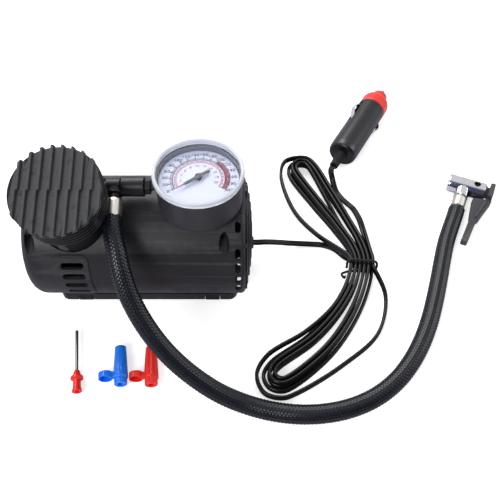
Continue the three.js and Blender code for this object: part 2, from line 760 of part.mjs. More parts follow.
const valveSpringWire = 0.3;
const valveSpring = coilSpring(1.4, valveSpringWire, ballSeat + ballRadius + GAP - 0.4,
  coverBottom - GAP - valveSpringWire, 3);
add(pump, 'outlet_valve_spring', valveSpring.translate([pumpX, 0, 0]), steel);

// ---------------------------------------------------------------- crank, rod and motor

// An external gear lying on the X axis, with tapered teeth.
function gear(teeth, from, to, y, z, phase) {
  const pitch = gearModule * teeth / 2;
  const tip = pitch + 0.75 * gearModule;
  const root = pitch - 1.05 * gearModule;
  const [rootHalf, tipHalf] = [0.66 * gearModule, 0.3 * gearModule];
  const points = [];
  for (let i = 0; i < teeth; i += 1) {
    const a = phase + 2 * Math.PI * i / teeth;
    for (const [r, half] of [[root, -rootHalf], [tip, -tipHalf], [tip, tipHalf], [root, rootHalf]]) {
      const b = a + half / r;
      points.push([r * Math.cos(b), r * Math.sin(b)]);
    }
  }
  // The outline's x runs along Y and its y along Z.
  const g = new THREE.ExtrudeGeometry(outline(points), { depth: to - from, bevelEnabled: false });
  g.applyMatrix4(new THREE.Matrix4().makeBasis(axisY, axisZ, axisX));
  return solid(g.translate(from, y, z));
}

const meshAngle = -Math.PI / 2;                       // the pinion lies straight below the crank gear
const crankPhase = meshAngle;
const pinionPhase = Math.PI / 2 + Math.PI / pinionTeeth;
const crankShaftEnd = plateX + plateThickness - 0.2;

function crankGear() {
  const wheel = gear(gearTeeth, gearX, gearX + gearWidth, 0, 0, crankPhase);
  const shaft = bar(crankShaftRadius, gearX + 1, crankShaftEnd, 'x', [0, 0], 16);
  const lightening = [60, 120, 240, 300].map((a) => bar(1.6, gearX - CUT, gearX + gearWidth + CUT, 'x',
    [6 * Math.cos(rad(a)), 6 * Math.sin(rad(a))], 8));
  return cut(join(wheel, shaft), ...lightening);
}
add(pump, 'crank_gear', crankGear(), gearNylon);
add(pump, 'crank_bearing', pipe(bearingRadius, crankShaftRadius + 0.15,
  plateX + 0.2, plateX + plateThickness - 0.2, 'x', [0, 0], 16), steel);

const rodX = pumpX - rodThickness / 2;
const pinZ = crankThrow;                                // top dead centre
const pistonFoot = pinZ + rodLength - pistonHeight;

function connectingRod() {
  const eye = bar(rodEyeRadius, rodX, rodX + rodThickness, 'x', [0, pinZ], 20);
  const beam = box(rodX + 1, rodX + rodThickness - 1, -3.2, 3.2, pinZ, pistonFoot + 0.5);
  const web = box(rodX, rodX + rodThickness, -1.2, 1.2, pinZ + rodEyeRadius - 1, pistonFoot + 0.5);
  const piston = bar(pistonRadius, pistonFoot, pistonFoot + pistonHeight - cupHeight, 'z', [pumpX, 0], 24);
  const spigot = bar(3, pistonFoot, pistonFoot + pistonHeight - 0.2, 'z', [pumpX, 0], 12);
  return cut(join(eye, beam, web, piston, spigot),
    bar(crankPinRadius + 0.15, rodX - CUT, rodX + rodThickness + CUT, 'x', [0, pinZ], 14));
}
add(pump, 'connecting_rod', connectingRod(), castAlloy);
add(pump, 'crank_pin', bar(crankPinRadius, rodX - 0.8, gearX - GAP, 'x', [0, pinZ], 14), steel);
add(pump, 'piston_cup', pipe(boreRadius - 0.25, 3.3, pistonFoot + pistonHeight - cupHeight + 0.2,
  pistonFoot + pistonHeight, 'z', [pumpX, 0], 24), blackRubber);

const motorX = plateX + plateThickness + GAP;
const motorEnd = motorX + motorLength;

function motorCan() {
  const can = bar(motorRadius, motorX, motorEnd, 'x', [0, -shaftDrop], 28);
  const boss = bar(6.4, plateX + 0.4, motorX + 1, 'x', [0, -shaftDrop], 16);
  return cut(join(can, boss),
    bar(motorRadius - motorWall, motorX + motorWall, motorEnd + CUT, 'x', [0, -shaftDrop], 28),
    bar(motorShaftRadius + 0.3, plateX - CUT, motorEnd, 'x', [0, -shaftDrop], 10));
}
add(pump, 'motor_can', motorCan(), zincSteel);

const magnetRadius = motorRadius - motorWall - GAP;
const magnetBore = magnetRadius - magnetThickness;
const magnetStart = motorX + magnetFromFront;
const magnetEnd = motorEnd - magnetFromBack;
add(pump, 'motor_magnet', pipe(magnetRadius, magnetBore, magnetStart, magnetEnd, 'x', [0, -shaftDrop], 20),
  magnetGrey);

const coreRadius = magnetBore - airGap;

function armature() {
  const shaft = bar(motorShaftRadius, gearX - 0.2, motorEnd + 2.5, 'x', [0, -shaftDrop], 10);
  const core = bar(coreRadius, magnetStart + 1, magnetEnd - 1, 'x', [0, -shaftDrop], 20);
  const slots = Array.from({ length: 5 }, (_, i) => {
    const slot = box(magnetStart, magnetEnd, -1.3, 1.3, coreRadius - 5, coreRadius + CUT);
    return spun(slot, 'x', i * 72).translate([0, 0, -shaftDrop]);
  });
  const windings = bar(coreRadius - windingDepth, magnetStart - 2, magnetEnd + 2, 'x', [0, -shaftDrop], 12);
  const commutator = bar(commutatorRadius, magnetEnd + 3, motorEnd - commutatorInset,
    'x', [0, -shaftDrop], 12);
  return join(cut(core, ...slots), shaft, windings, commutator);
}
add(pump, 'armature', armature(), copper);

function pinion() {
  return cut(gear(pinionTeeth, gearX, gearX + gearWidth, 0, -shaftDrop, pinionPhase),
    bar(motorShaftRadius + 0.1, gearX - CUT, gearX + gearWidth + CUT, 'x', [0, -shaftDrop], 10));
}
add(pump, 'pinion', pinion(), brass);

function endBell() {
  const cap = bar(motorRadius, motorEnd + GAP, motorEnd + GAP + 3, 'x', [0, -shaftDrop], 24);
  const spigot = bar(motorRadius - motorWall - GAP, motorEnd - 3, motorEnd + 1, 'x', [0, -shaftDrop], 24);
  const bush = bar(4, motorEnd + 1, motorEnd + endBellLength - 1, 'x', [0, -shaftDrop], 14);
  return cut(join(cap, spigot, bush),
    bar(motorRadius - 5, motorEnd - 4, motorEnd + 0.2, 'x', [0, -shaftDrop], 16),
    bar(motorShaftRadius + 0.15, motorEnd - 5, motorEnd + 4, 'x', [0, -shaftDrop], 10));
}
add(pump, 'motor_end_bell', endBell(), darkPlastic);

// Two brushes on a ring that lies against the end bell.
function brushes() {
  const [near, far] = [commutatorRadius + GAP, commutatorRadius + 6.5];
  const pair = [1, -1].map((s) => box(motorEnd - 9, motorEnd - 4,
    Math.min(s * near, s * far), Math.max(s * near, s * far), -shaftDrop - 1.5, -shaftDrop + 1.5));
  const holder = pipe(magnetRadius, commutatorRadius + 2, motorEnd - 4.6, motorEnd - commutatorInset - GAP,
    'x', [0, -shaftDrop], 20);
  return join(...pair, holder);
}
add(pump, 'motor_brushes', brushes(), magnetGrey);

// ---------------------------------------------------------------- switch on the back

const rockerTilt = 10;

function switchFrame() {
  const flangeLength = switchHoleLength + 2;
  const flangeHeight = switchHoleHeight + 2;
  const flange = box(switchX - flangeLength / 2, switchX + flangeLength / 2,
    switchPadFace + GAP, switchPadFace + GAP + 1.6, -flangeHeight / 2, flangeHeight / 2);
  const body = box(switchX - switchHoleLength / 2, switchX + switchHoleLength / 2,
    barrelInner - 5, switchPadFace + GAP + 1, -switchHoleHeight / 2, switchHoleHeight / 2);
  const well = box(switchX - switchHoleLength / 2 + 0.8, switchX + switchHoleLength / 2 - 0.8,
    switchPadFace - 5.2, switchPadFace + 4, -switchHoleHeight / 2 + 0.8, switchHoleHeight / 2 - 0.8);
  return cut(join(flange, body), well);
}
add(pump, 'switch_frame', switchFrame(), darkPlastic);

// The rocker's outline runs along X and out of the back; it rocks about its pivot, parallel to Z.
const rockerPivotY = switchPadFace;
function rocker() {
  const shape = outline([[-5.3, -1.2], [-5.3, 1.2], [-2.6, 2.9], [0, 2.3], [2.6, 2.9], [5.3, 1.2],
    [5.3, -1.2], [1.6, -3.6], [-1.6, -3.6]]);
  const body = plate(shape, -switchHoleHeight / 2 + 1.1, switchHoleHeight / 2 - 1.1);
  return spun(body, 'z', rockerTilt).translate([switchX, rockerPivotY, 0]);
}
add(pump, 'switch_rocker', rocker(), blackRubber);

// ---------------------------------------------------------------- gauge

const gauge = new THREE.Group();
gauge.position.set(gaugeX, gaugeY, 0);
inflator.add(gauge);
const stemY = pipeY - gaugeY;

function gaugeCase() {
  const outer = turned([[0, gaugeBottom], ...arc(gaugeCaseRadius - 2, gaugeBottom + 2, 2, -90, 0, 2),
    [gaugeCaseRadius, gaugeCaseTop], [0, gaugeCaseTop]], 'z', [0, 0], 36);
  const inner = bar(gaugeCaseRadius - gaugeCaseWall, gaugeBottom + gaugeCaseWall, gaugeCaseTop + CUT,
    'z', [0, 0], 32);
  const stemHole = bar(stemRadius + GAP, -gaugeCaseRadius - 2, -gaugeCaseRadius + 4,
    'x', [stemY, pipeZ], 12);
  return cut(outer, inner, stemHole);
}
add(gauge, 'gauge_case', gaugeCase(), glossBlack);

function gaugeLens() {
  const ring = turned([
    [gaugeCaseRadius + 0.25, lensSkirtBottom], [lensRadius, lensSkirtBottom],
    [lensRadius, lensTop - 0.7], [lensRadius - 0.7, lensTop], [lensMouthRadius + 0.6, lensTop],
    [lensMouthRadius, windowTop], [lensMouthRadius, windowTop - windowThickness],
    [gaugeCaseRadius + 0.25, windowTop - windowThickness]], 'z', [0, 0], 36);
  const window = bar(lensMouthRadius + 0.3, windowTop - windowThickness, windowTop, 'z', [0, 0], 36);
  return join(ring, window);
}
add(gauge, 'gauge_lens', gaugeLens(), clearPlastic);
add(gauge, 'gauge_dial', cut(bar(dialRadius, dialHeight, dialHeight + dialThickness, 'z', [0, 0], 36),
  bar(1.3, dialHeight - CUT, dialHeight + 2, 'z', [0, 0], 10)), whiteDial);

const spindleRadius = 0.8;
const pointerHeight = dialHeight + dialThickness + 0.7;

function pointer() {
  const blade = outline([[-pointerTail, -1.3], [-2.4, -0.8], [0, -2.1], [2.4, -0.8], [9, -0.75],
    [9.6, -0.25], [pointerLength, -0.2], [pointerLength, 0.2], [9.6, 0.25], [9, 0.75],
    [2.4, 0.8], [0, 2.1], [-2.4, 0.8], [-pointerTail, 1.3]]);
  const hand = spun(plate(blade, pointerHeight, pointerHeight + 0.6), 'z', pointerZero);
  const hub = bar(1.9, pointerHeight, pointerHeight + 1.2, 'z', [0, 0], 16);
  const spindle = bar(spindleRadius, movementTop - 4.6, pointerHeight + 0.3, 'z', [0, 0], 12);
  return join(hand, hub, spindle);
}

// Movement: a plate under the dial, and a sector that swings about its own post.
const movementTop = dialHeight - 1.2;
const movementPlateThickness = 1.2;
const sectorReach = movementModule * (sectorTeeth + spindleTeeth) / 2;
const sectorTurn = 40;            // the sector's post lies in this direction from the spindle

// The outline of some teeth of a small wheel that has so many in all; the first stands at an angle.
function toothPoints(teeth, first, count) {
  const pitch = movementModule * teeth / 2;
  const [root, tip] = [pitch - movementModule, pitch + 0.7 * movementModule];
  const [rootHalf, tipHalf] = [0.6 * movementModule, 0.3 * movementModule];
  const points = [];
  for (let i = 0; i < count; i += 1) {
    const a = rad(first + 360 * i / teeth);
    for (const [r, half] of [[root, -rootHalf], [tip, -tipHalf], [tip, tipHalf], [root, rootHalf]]) {
      points.push([r * Math.cos(a + half / r), r * Math.sin(a + half / r)]);
    }
  }
  return points;
}

function pointerPinion() {
  const points = toothPoints(spindleTeeth, sectorTurn + 180 / spindleTeeth, spindleTeeth);
  return plate(outline(points), movementTop - 4.4, movementTop - 2.6);
}
add(gauge, 'gauge_pointer', join(pointer(), pointerPinion()), greyPointer);

const sectorPost = [sectorReach * Math.cos(rad(sectorTurn)), sectorReach * Math.sin(rad(sectorTurn))];
const sectorPostRadius = 0.8;

// As it stands the sector meshes near the end of its teeth; they reach back over its whole swing.
function gaugeSector() {
  const [from, to] = [movementTop - 4.2, movementTop - 2.8];
  const toothStep = 360 / sectorTeeth;
  const blade = plate(outline([[0, 0], ...toothPoints(sectorTeeth, -10 * toothStep, 12)]), from, to);
  const eye = bar(2, from, to, 'z', [0, 0], 16);
  const arm = box(-5, 0, -0.8, 0.8, from, to);
  const hole = bar(sectorPostRadius + 0.15, from - CUT, to + CUT, 'z', [0, 0], 12);
  const whole = cut(join(blade, eye, arm), hole);
  return spun(whole, 'z', sectorTurn + 180).translate([...sectorPost, 0]);
}
add(gauge, 'gauge_sector', gaugeSector(), brass);

function movementPlate() {
  const disc = cut(
    bar(gaugeCaseRadius - gaugeCaseWall - GAP, movementTop - movementPlateThickness, movementTop,
      'z', [0, 0], 24),
    bar(spindleRadius + 0.15, movementTop - 3, movementTop + CUT, 'z', [0, 0], 12),
    box(-gaugeCaseRadius, -14, stemY - 4, stemY + 5, movementTop - 3, movementTop + CUT));
  const post = bar(sectorPostRadius, movementTop - 5.2, movementTop - 0.5, 'z', sectorPost, 12);
  const seatReach = dialRadius - dialSeatInset;
  const dialSeats = [70, 190, 310].map((a) => bar(1.2, movementTop - 0.5, dialHeight - GAP, 'z',
    [seatReach * Math.cos(rad(a)), seatReach * Math.sin(rad(a))], 8));
  return join(disc, post, ...dialSeats);
}
add(gauge, 'gauge_movement_plate', movementPlate(), brass);

// The Bourdon tube, its socket, and the stem that comes in from the air pipe.
function bourdonTube() {
  const curve = new THREE.CatmullRomCurve3(Array.from({ length: 15 }, (_, i) => {
    const a = rad(175 - i * 17);
    return new THREE.Vector3(bourdonRadius * Math.cos(a), bourdonRadius * Math.sin(a), pipeZ - 6.2);
  }));
  const section = roundedRect(4.4, 1.8, 0.8);
  const tube = solid(new THREE.ExtrudeGeometry(section, {
    steps: 14, bevelEnabled: false, extrudePath: curve, curveSegments: 1,
  }));
  const socket = bar(stemRadius + 0.8, gaugeBottom + gaugeCaseWall + GAP, pipeZ, 'z',
    [-bourdonRadius, stemY + 1.2], 14);
  const stem = bar(stemRadius, sleeveEnd - stemReach - gaugeX, 0.5 - bourdonRadius, 'x', [stemY, pipeZ], 12);
  return join(tube, socket, stem);
}
add(gauge, 'bourdon_tube', bourdonTube(), brass);

// ---------------------------------------------------------------- air pipe

const pipeCentre = [pipeY, pipeZ];
const branchAhead = new THREE.Vector3(0, -Math.cos(rad(branchDrop)), -Math.sin(rad(branchDrop)));

// A solid made along +Z from the origin, set at a point along a direction.
function aimed(body, from, ahead) {
  const turn = new THREE.Quaternion().setFromUnitVectors(axisZ, ahead);
  const m = new THREE.Matrix4().makeRotationFromQuaternion(turn).setPosition(from);
  return body.transform(m.elements);
}

const branchRoot = new THREE.Vector3(branchX, pipeY, pipeZ);
const alongBranch = (d) => branchRoot.clone().addScaledVector(branchAhead, d);

function airPipe() {
  const run = bar(pipeRadius, pumpX + blockRadius - 3.6, sleeveStart + 1, 'x', pipeCentre, 16);
  const sleeve = cone(sleeveRadius - 0.2, sleeveRadius, sleeveStart, sleeveEnd, 'x', pipeCentre, 20);
  const branch = aimed(bar(branchRadius, 0, branchLength, 'z', [0, 0], 16), branchRoot, branchAhead);
  return cut(join(run, sleeve, branch),
    bar(stemRadius + GAP, sleeveEnd - 6, sleeveEnd + CUT, 'x', pipeCentre, 12));
}
add(inflator, 'air_pipe', airPipe(), darkPlastic);

const nutStart = sleeveEnd + GAP;
const gaugeNut = cut(bar(nutRadius, nutStart, nutStart + nutLength, 'x', pipeCentre, 6),
  bar(stemRadius + GAP, nutStart - CUT, nutStart + nutLength + CUT, 'x', pipeCentre, 12));
add(inflator, 'gauge_nut', gaugeNut, darkPlastic);

function ferrule(length) {
  const wall = 0.5;
  return turned([[0, 0], [ferruleRadius - 0.4, 0], [ferruleRadius, 0.4], [ferruleRadius, length * 0.3],
    [ferruleRadius - wall, length * 0.36], [ferruleRadius - wall, length * 0.42],
    [ferruleRadius, length * 0.48], [ferruleRadius, length], [0, length]], 'z', [0, 0], 16);
}
add(inflator, 'hose_ferrule_pump',
  aimed(ferrule(pumpFerruleLength), alongBranch(branchLength + GAP), branchAhead), chrome);

// ---------------------------------------------------------------- chuck

const chuck = new THREE.Group();
chuck.position.set(chuckX, chuckY, chuckZ);
chuck.rotation.z = rad(chuckTurn);
inflator.add(chuck);

function chuckBody() {
  const domeRadius = leverHeadRise - 0.4;
  const shoulder = Math.sqrt(domeRadius ** 2 - chuckRadius ** 2);
  const dome = [];
  for (let i = 0; i <= 3; i += 1) {
    const x = shoulder + (domeRadius - shoulder) * i / 3;
    dome.push([Math.sqrt(Math.max(domeRadius ** 2 - x ** 2, 0)), leverPinX + x]);
  }
  const barrel = turned([[0, -chuckHalf], [chuckRadius - 0.6, -chuckHalf], [chuckRadius, -chuckHalf + 0.6],
    ...dome], 'x', [0, 0], 24);
  const port = bar(chuckPortRadius, -chuckRadius - 1.2, -1, 'y', [chuckPortX, 0], 16);
  return cut(join(barrel, port),
    bar(chuckMouthRadius, -chuckHalf - CUT, -chuckHalf + chuckMouthDepth, 'x', [0, 0], 20),
    bar(1.4, -chuckHalf, leverPinX, 'x', [0, 0], 12),
    box(leverPinX - leverEye - GAP, chuckHalf + 8, -chuckRadius - 3, chuckRadius + 3,
      -leverSlot / 2, leverSlot / 2),
    bar(leverPinRadius + GAP, -chuckRadius - CUT, chuckRadius + CUT, 'z', [leverPinX, 0], 12),
    bar(2.7, chuckRadius - 1.6, chuckRadius + CUT, 'z', [leverPinX, 0], 12));
}
add(chuck, 'chuck_body', chuckBody(), chrome);
const sealStart = -chuckHalf + 5;
const sealEnd = -chuckHalf + chuckMouthDepth - GAP;
add(chuck, 'chuck_seal', pipe(chuckMouthRadius - GAP, 1.6, sealStart, sealEnd, 'x', [0, 0], 20),
  blackRubber);
const leverPin = bar(leverPinRadius, -chuckRadius + 0.3, chuckRadius - 1.9, 'z', [leverPinX, 0], 12);
add(chuck, 'lever_pin', leverPin, steel);

function chuckLever() {
  const half = leverThickness / 2;
  const inner = leverHeadRise;
  const eye = bar(leverEye, -half, half, 'z', [0, 0], 20);
  const tongue = box(0, inner + 1, -3.4, 3.4, -half, half);
  const head = plate(roundedRect(leverHeadThickness, 13, 1.2), -leverHeadHeight / 2, leverHeadHeight / 2, 2)
    .translate([inner + leverHeadThickness / 2, -1, 0]);
  const arm = plate(outline([[inner + 0.1, -6], [inner + leverHeadThickness - 0.1, -6], [12.2, -10],
    [8.9, -22], [7.4, -28.5], [6.2, -30], [4.6, -50], [3.9, -51], [0.9, -51], [0.2, -50],
    [1.4, -30], [0.6, -23], [-0.2, -11.2], [0.4, -10.6], [inner + 0.1, -8.4]]), -half, half);
  const rib = plate(outline([[7.6, -11], [9.2, -11], [5.4, -28], [4.2, -28]]), -half - 0.9, half + 0.9);
  const body = cut(join(eye, tongue, head, arm, rib),
    bar(leverPinRadius + 0.15, -10, 10, 'z', [0, 0], 12));
  return body.translate([leverPinX, 0, 0]);
}
add(chuck, 'chuck_lever', chuckLever(), leverPlastic);

const toChuck = new THREE.Matrix4().makeRotationZ(rad(chuckTurn)).setPosition(chuckX, chuckY, chuckZ);
const portFace = new THREE.Vector3(chuckPortX, -chuckRadius - 1.2 - GAP, 0).applyMatrix4(toChuck);
const portAhead = new THREE.Vector3(0, -1, 0).transformDirection(toChuck);
add(inflator, 'hose_ferrule_chuck', aimed(ferrule(chuckFerruleLength), portFace, portAhead), chrome);

// ---------------------------------------------------------------- hose, through hand-chosen points

const hoseStart = alongBranch(branchLength + pumpFerruleLength + 2 * GAP);
const hoseEnd = portFace.clone().addScaledVector(portAhead, chuckFerruleLength + GAP);

const hoseAt = (share) => hoseFloor + share * (hoseStart.z - hoseFloor);
const hosePoints = [
  [-9.3, -29.5, hoseAt(0.9685)], [-7.2, -38.2, hoseAt(0.9152)], [-5.2, -46.2, hoseAt(0.8406)],
  [-2.4, -53.4, hoseAt(0.7474)], [1.6, -60.2, hoseAt(0.6461)], [7.2, -67.2, hoseAt(0.5395)],
  [14.4, -74.2, hoseAt(0.4303)], [23.4, -80.6, hoseAt(0.3157)], [34.4, -86.4, hoseAt(0.2012)],
  [47.4, -91.6, hoseAt(0.0973)], [62, -95.6, hoseAt(0.0253)], [76.5, -98.8, hoseFloor],
  [92, -100.6, hoseFloor], [107, -99.8, hoseFloor],
  [121.5, -96.4, hoseFloor], [135, -90.2, hoseFloor], [147.4, -80.8, hoseFloor], [157.6, -69, hoseFloor],
  [166.2, -55.4, hoseFloor], [173.4, -40.4, hoseFloor], [179.4, -24.6, hoseFloor],
  [184.8, -8.6, hoseFloor], [189.8, 7, hoseFloor], [195, 22, hoseFloor],
];

function hose() {
  const nearEnd = hoseEnd.clone().addScaledVector(portAhead, 8);
  const points = [hoseStart, hoseStart.clone().addScaledVector(branchAhead, 2),
    ...hosePoints.map((p) => new THREE.Vector3(...p)), nearEnd, hoseEnd];
  const curve = new THREE.CatmullRomCurve3(points, false, 'centripetal');
  const round = new THREE.Shape();
  round.absarc(0, 0, hoseRadius, 0, 2 * Math.PI);
  const g = new THREE.ExtrudeGeometry(round, {
    steps: hoseSteps, bevelEnabled: false, extrudePath: curve, curveSegments: hoseSides / 2,
  });
  console.log(`hose length ${curve.getLength().toFixed(1)} mm`);
  return solid(g);
}
add(inflator, 'air_hose', hose(), braid);

// ---------------------------------------------------------------- cable, hank and tie

const cableFloor = cableThick / 2 + 0.1;
const hankLine = new THREE.CatmullRomCurve3([
  [67.3, -92], [76.1, -81.1], [88, -70.1], [102.4, -58.9], [114.6, -45.4], [123.4, -31.8], [130.8, -17.4],
  [136, 1.1], [134.2, 17.1], [128.1, 32.5], [120.1, 50.2], [111.4, 67.7], [103.9, 83.8], [97.1, 100.8],
].map(([x, y]) => new THREE.Vector3(x, y, 0)), false, 'centripetal');
const hankWaist = 118;           // the tie's distance along the line
const hankTurns = 5.5;
const hankLayerTurns = 2.5;      // of the lower layer; the cable then climbs and winds out again
const waistStep = 2.72;          // from cable to cable in the tie
const foldStep = 2.85;           // from cable to cable elsewhere
const foldRadius = { top: 12.2, bottom: 10.8 };    // of the outermost cable's folds
const foldStretch = 1.1;         // how much longer than round a fold is
const foldReach = { top: 95, bottom: 95 };         // the folds' centres, from the tie
const foldShare = 1 / 3;         // the part of a half turn that runs from the tie to a fold
const climbSwing = 1.85;         // how far the cable swings in as it climbs
const hankLayer = cableWide + 0.7;
const hankLift = tieRadius * 2 + 0.7;
// The last turn strays from the others: knots of (turn, how far out, how far down)
const strayKnots = [
  [4.75, 0, 0], [4.792, 3.4, 0], [4.833, 6.7, 1.6], [4.875, 12.8, 4.6], [4.917, 11.2, 3], [4.958, 4.4, 1],
  [4.979, 0.8, 0], [5, 0, 0], [5.083, 0, 0], [5.125, 2, 0], [5.167, 3.5, 0], [5.208, 3.8, 2.4],
  [5.25, 4, hankLayer], [5.333, 4, hankLayer], [5.375, 8.4, hankLayer], [5.417, 15.4, hankLayer],
  [5.458, 11.5, 3.6], [5.479, 3.8, 0.3], [5.49, 0.6, 0], [5.5, 0, 0],
];
const strayExtraTurns = [4.979, 5.479, 5.49];      // places added there to the even steps
const runEase = 1.3;             // above 1, the steps are shorter near the tie

const mix = (a, b, t) => a + (b - a) * t;
const clamp01 = (t) => Math.min(Math.max(t, 0), 1);
const smooth = (t) => clamp01(t) ** 2 * (3 - 2 * clamp01(t));

// How many steps in from the outside the cable lies, after so many turns.
const hankDepth = (turn) => (turn <= hankLayerTurns ? turn : hankTurns - turn);

// The distance from the middle of the tie at which the cable makes its nth pass through it.
const waistPlace = (pass) => waistStep * (0.5 + Math.floor(hankLayerTurns - hankDepth(pass / 2) + 0.001));

function strayAt(turn) {
  const i = strayKnots.findIndex(([at]) => at > turn);
  if (i < 1) return { out: 0, drop: 0 };
  const [[t0, out0, drop0], [t1, out1, drop1]] = [strayKnots[i - 1], strayKnots[i]];
  const share = (turn - t0) / (t1 - t0);
  return { out: mix(out0, out1, share), drop: mix(drop0, drop1, share) };
}

// A place on the hank's middle line, which runs on straight beyond its ends.
function onHankLine(distance) {
  const length = hankLine.getLength();
  const u = clamp01(distance / length);
  const ahead = hankLine.getTangentAt(u);
  return { middle: hankLine.getPointAt(u).addScaledVector(ahead, distance - u * length), ahead };
}

// The cable's middle after so many turns. Even passes of the tie are at its left and lead to the lower
// fold, odd ones at its right and lead to the upper fold.
function hankPoint(turn) {
  const pass = Math.floor(turn * 2 + 1e-6);
  const part = turn * 2 - pass;
  const upper = pass % 2 === 1;
  const lobe = upper ? 'top' : 'bottom';
  const centre = foldReach[lobe];
  const stray = strayAt(turn);
  const radius = foldRadius[lobe] - foldStep * hankDepth(turn);
  const leaving = part < 0.5;
  const run = ((leaving ? part : 1 - part) / foldShare) ** runEase;
  const climbRun = pass === 2 * hankLayerTurns && leaving ? Math.min(run, 1) : 1;
  let side;
  let along;
  if (run < 1) {
    side = mix(waistPlace(leaving ? pass : pass + 1), radius, smooth(run)) + stray.out;
    side *= leaving ? 1 : -1;
    along = centre * run;
  } else {
    const angle = Math.PI * (part - foldShare) / (1 - 2 * foldShare);
    side = (radius + stray.out) * Math.cos(angle);
    along = centre + (radius + stray.out) * foldStretch * Math.sin(angle);
  }
  if (climbRun < 1) {
    side -= climbSwing * smooth((climbRun - 0.06) / 0.34) * (1 - smooth((climbRun - 0.42) / 0.55));
  }
  if (!upper) [side, along] = [-side, -along];
  const climbed = turn < hankLayerTurns ? 0 : smooth((climbRun - 0.42) / 0.5);
  const lift = hankLift * Math.exp(-((along / 14) ** 2));
  const { middle, ahead } = onHankLine(hankWaist + along);
  const z = cableWide / 2 + 0.2 + hankLayer * climbed + lift - stray.drop;
  return new THREE.Vector3(middle.x + ahead.y * side, middle.y - ahead.x * side, z);
}

const cableSection = [[1, 0], [0.5, 1], [-0.5, 1], [-1, 0], [-0.5, -1], [0.5, -1]]
  .map(([s, u]) => [s * cableThick / 2, u * cableWide / 2]);

// The least gap of an upright cable to itself, between places more than so many points apart.
function leastSelfGap(points, skip) {
  let least = Infinity;
  for (let i = 0; i < points.length; i += 1) {
    for (let j = i + skip; j < points.length; j += 1) {
      const across = Math.hypot(points[i].x - points[j].x, points[i].y - points[j].y) - cableThick;
      const up = Math.abs(points[i].z - points[j].z) - cableWide;
      const gap = across > 0 && up > 0 ? Math.hypot(across, up) : Math.max(across, up);
      if (gap < least) least = gap;
    }
  }
  return least;
}

const stepsPerLoop = 24;
const pointsPerStep = 6;         // in which the gap is measured
function hank() {
  const steps = Math.round(hankTurns * stepsPerLoop);
  const turns = Array.from({ length: steps + 1 }, (_, i) => i / stepsPerLoop);
  const points = [...turns, ...strayExtraTurns].sort((a, b) => a - b).map(hankPoint);
  const fine = points.slice(1).flatMap((p, i) => Array.from({ length: pointsPerStep },
    (_, k) => points[i].clone().lerp(p, k / pointsPerStep)));
  console.log(`hank least gap to itself ${leastSelfGap(fine, 3 * pointsPerStep).toFixed(2)} mm`);
  const length = points.slice(1).reduce((sum, p, i) => sum + p.distanceTo(points[i]), 0);
  console.log(`hank length ${length.toFixed(0)} mm`);
  return solid(sweep(points, cableSection));
}
add(inflator, 'cable_hank', hank(), cablePvc);

const waistStart = hankPoint(0);
const waistEnd = hankPoint(hankTurns);
const hankAhead = hankPoint(0.004).sub(waistStart).normalize();
const hankAway = onHankLine(hankWaist).ahead;

// A stretch of cable through hand-chosen points, between two ends that it meets square. The rolls are
// its turns from upright (degrees) at its start, at the given shares of its length, and at its end.
const runSection = [[1, 0.6], [0.6, 1], [-0.6, 1], [-1, 0.6], [-1, -0.6], [-0.6, -1], [0.6, -1], [1, -0.6]]
  .map(([s, u]) => [s * cableThick / 2, u * cableWide / 2]);
function cableRun(name, start, startAhead, middle, end, endAhead, rolls) {
  const curve = new THREE.CatmullRomCurve3([
    start, start.clone().addScaledVector(startAhead, cableWide),
    ...middle.map((p) => new THREE.Vector3(...p)),
    end.clone().addScaledVector(endAhead, -cableWide), end], false, 'centripetal');
  const steps = Math.round(curve.getLength() / (2 * cableWide * 0.75));
  const rollAt = (share) => {
    const i = Math.max(rolls.findIndex(([at]) => at > share), 0) || rolls.length - 1;
    const [[s0, a], [s1, b]] = [rolls[i - 1], rolls[i]];
    return rad(mix(a, b, smooth((share - s0) / (s1 - s0))));
  };
  console.log(`${name} length ${curve.getLength().toFixed(0)} mm`);
  const shares = Array.from({ length: steps + 1 }, (_, i) => i / steps);
  return solid(sweep(shares.map((u) => curve.getPointAt(u)), runSection, shares.map(rollAt),
    shares.map((u) => curve.getTangentAt(u))));
}

// The cable's grommet in the domed end, with a short snout.
const grommetSnout = 3.2;
const grommetFace = grommetX + 0.6 + GAP + grommetSnout;
const cableHole = box(grommetX - 14, grommetFace + CUT,
  grommetY - cableWide / 2 - GAP, grommetY + cableWide / 2 + GAP,
  grommetZ - cableThick / 2 - GAP, grommetZ + cableThick / 2 + GAP);
const grommet = cut(join(
  bar(grommetRadius, grommetX - 4, grommetX + 1, 'x', [grommetY, grommetZ], 16),
  cone(grommetFlange, grommetRadius - 0.6, grommetX + GAP, grommetFace, 'x', [grommetY, grommetZ], 16)),
cableHole);
add(inflator, 'cable_grommet', grommet, blackRubber);

const leadStart = new THREE.Vector3(grommetX - 6, grommetY, grommetZ);
const leadPoints = [
  [68, grommetY + 0.1, grommetZ - 0.1], [74.5, grommetY + 1.9, grommetZ - 2],
  [81.5, grommetY + 4.3, grommetZ - 5.4], [89, 21, 5], [97, 22.4, 2.6],
  [105, 23, cableFloor], [112.5, 22.2, cableFloor], [119, 19.6, cableFloor], [123.2, 15.8, 1.6],
  [125.9, 11.4, 3.1],
];
add(inflator, 'cable_lead', cableRun('lead', leadStart, axisX, leadPoints,
  waistStart.clone().addScaledVector(hankAhead, -GAP - 0.2), hankAhead,
  [[0, 90], [0.78, 90], [0.96, 0], [1, 0]]), cablePvc);

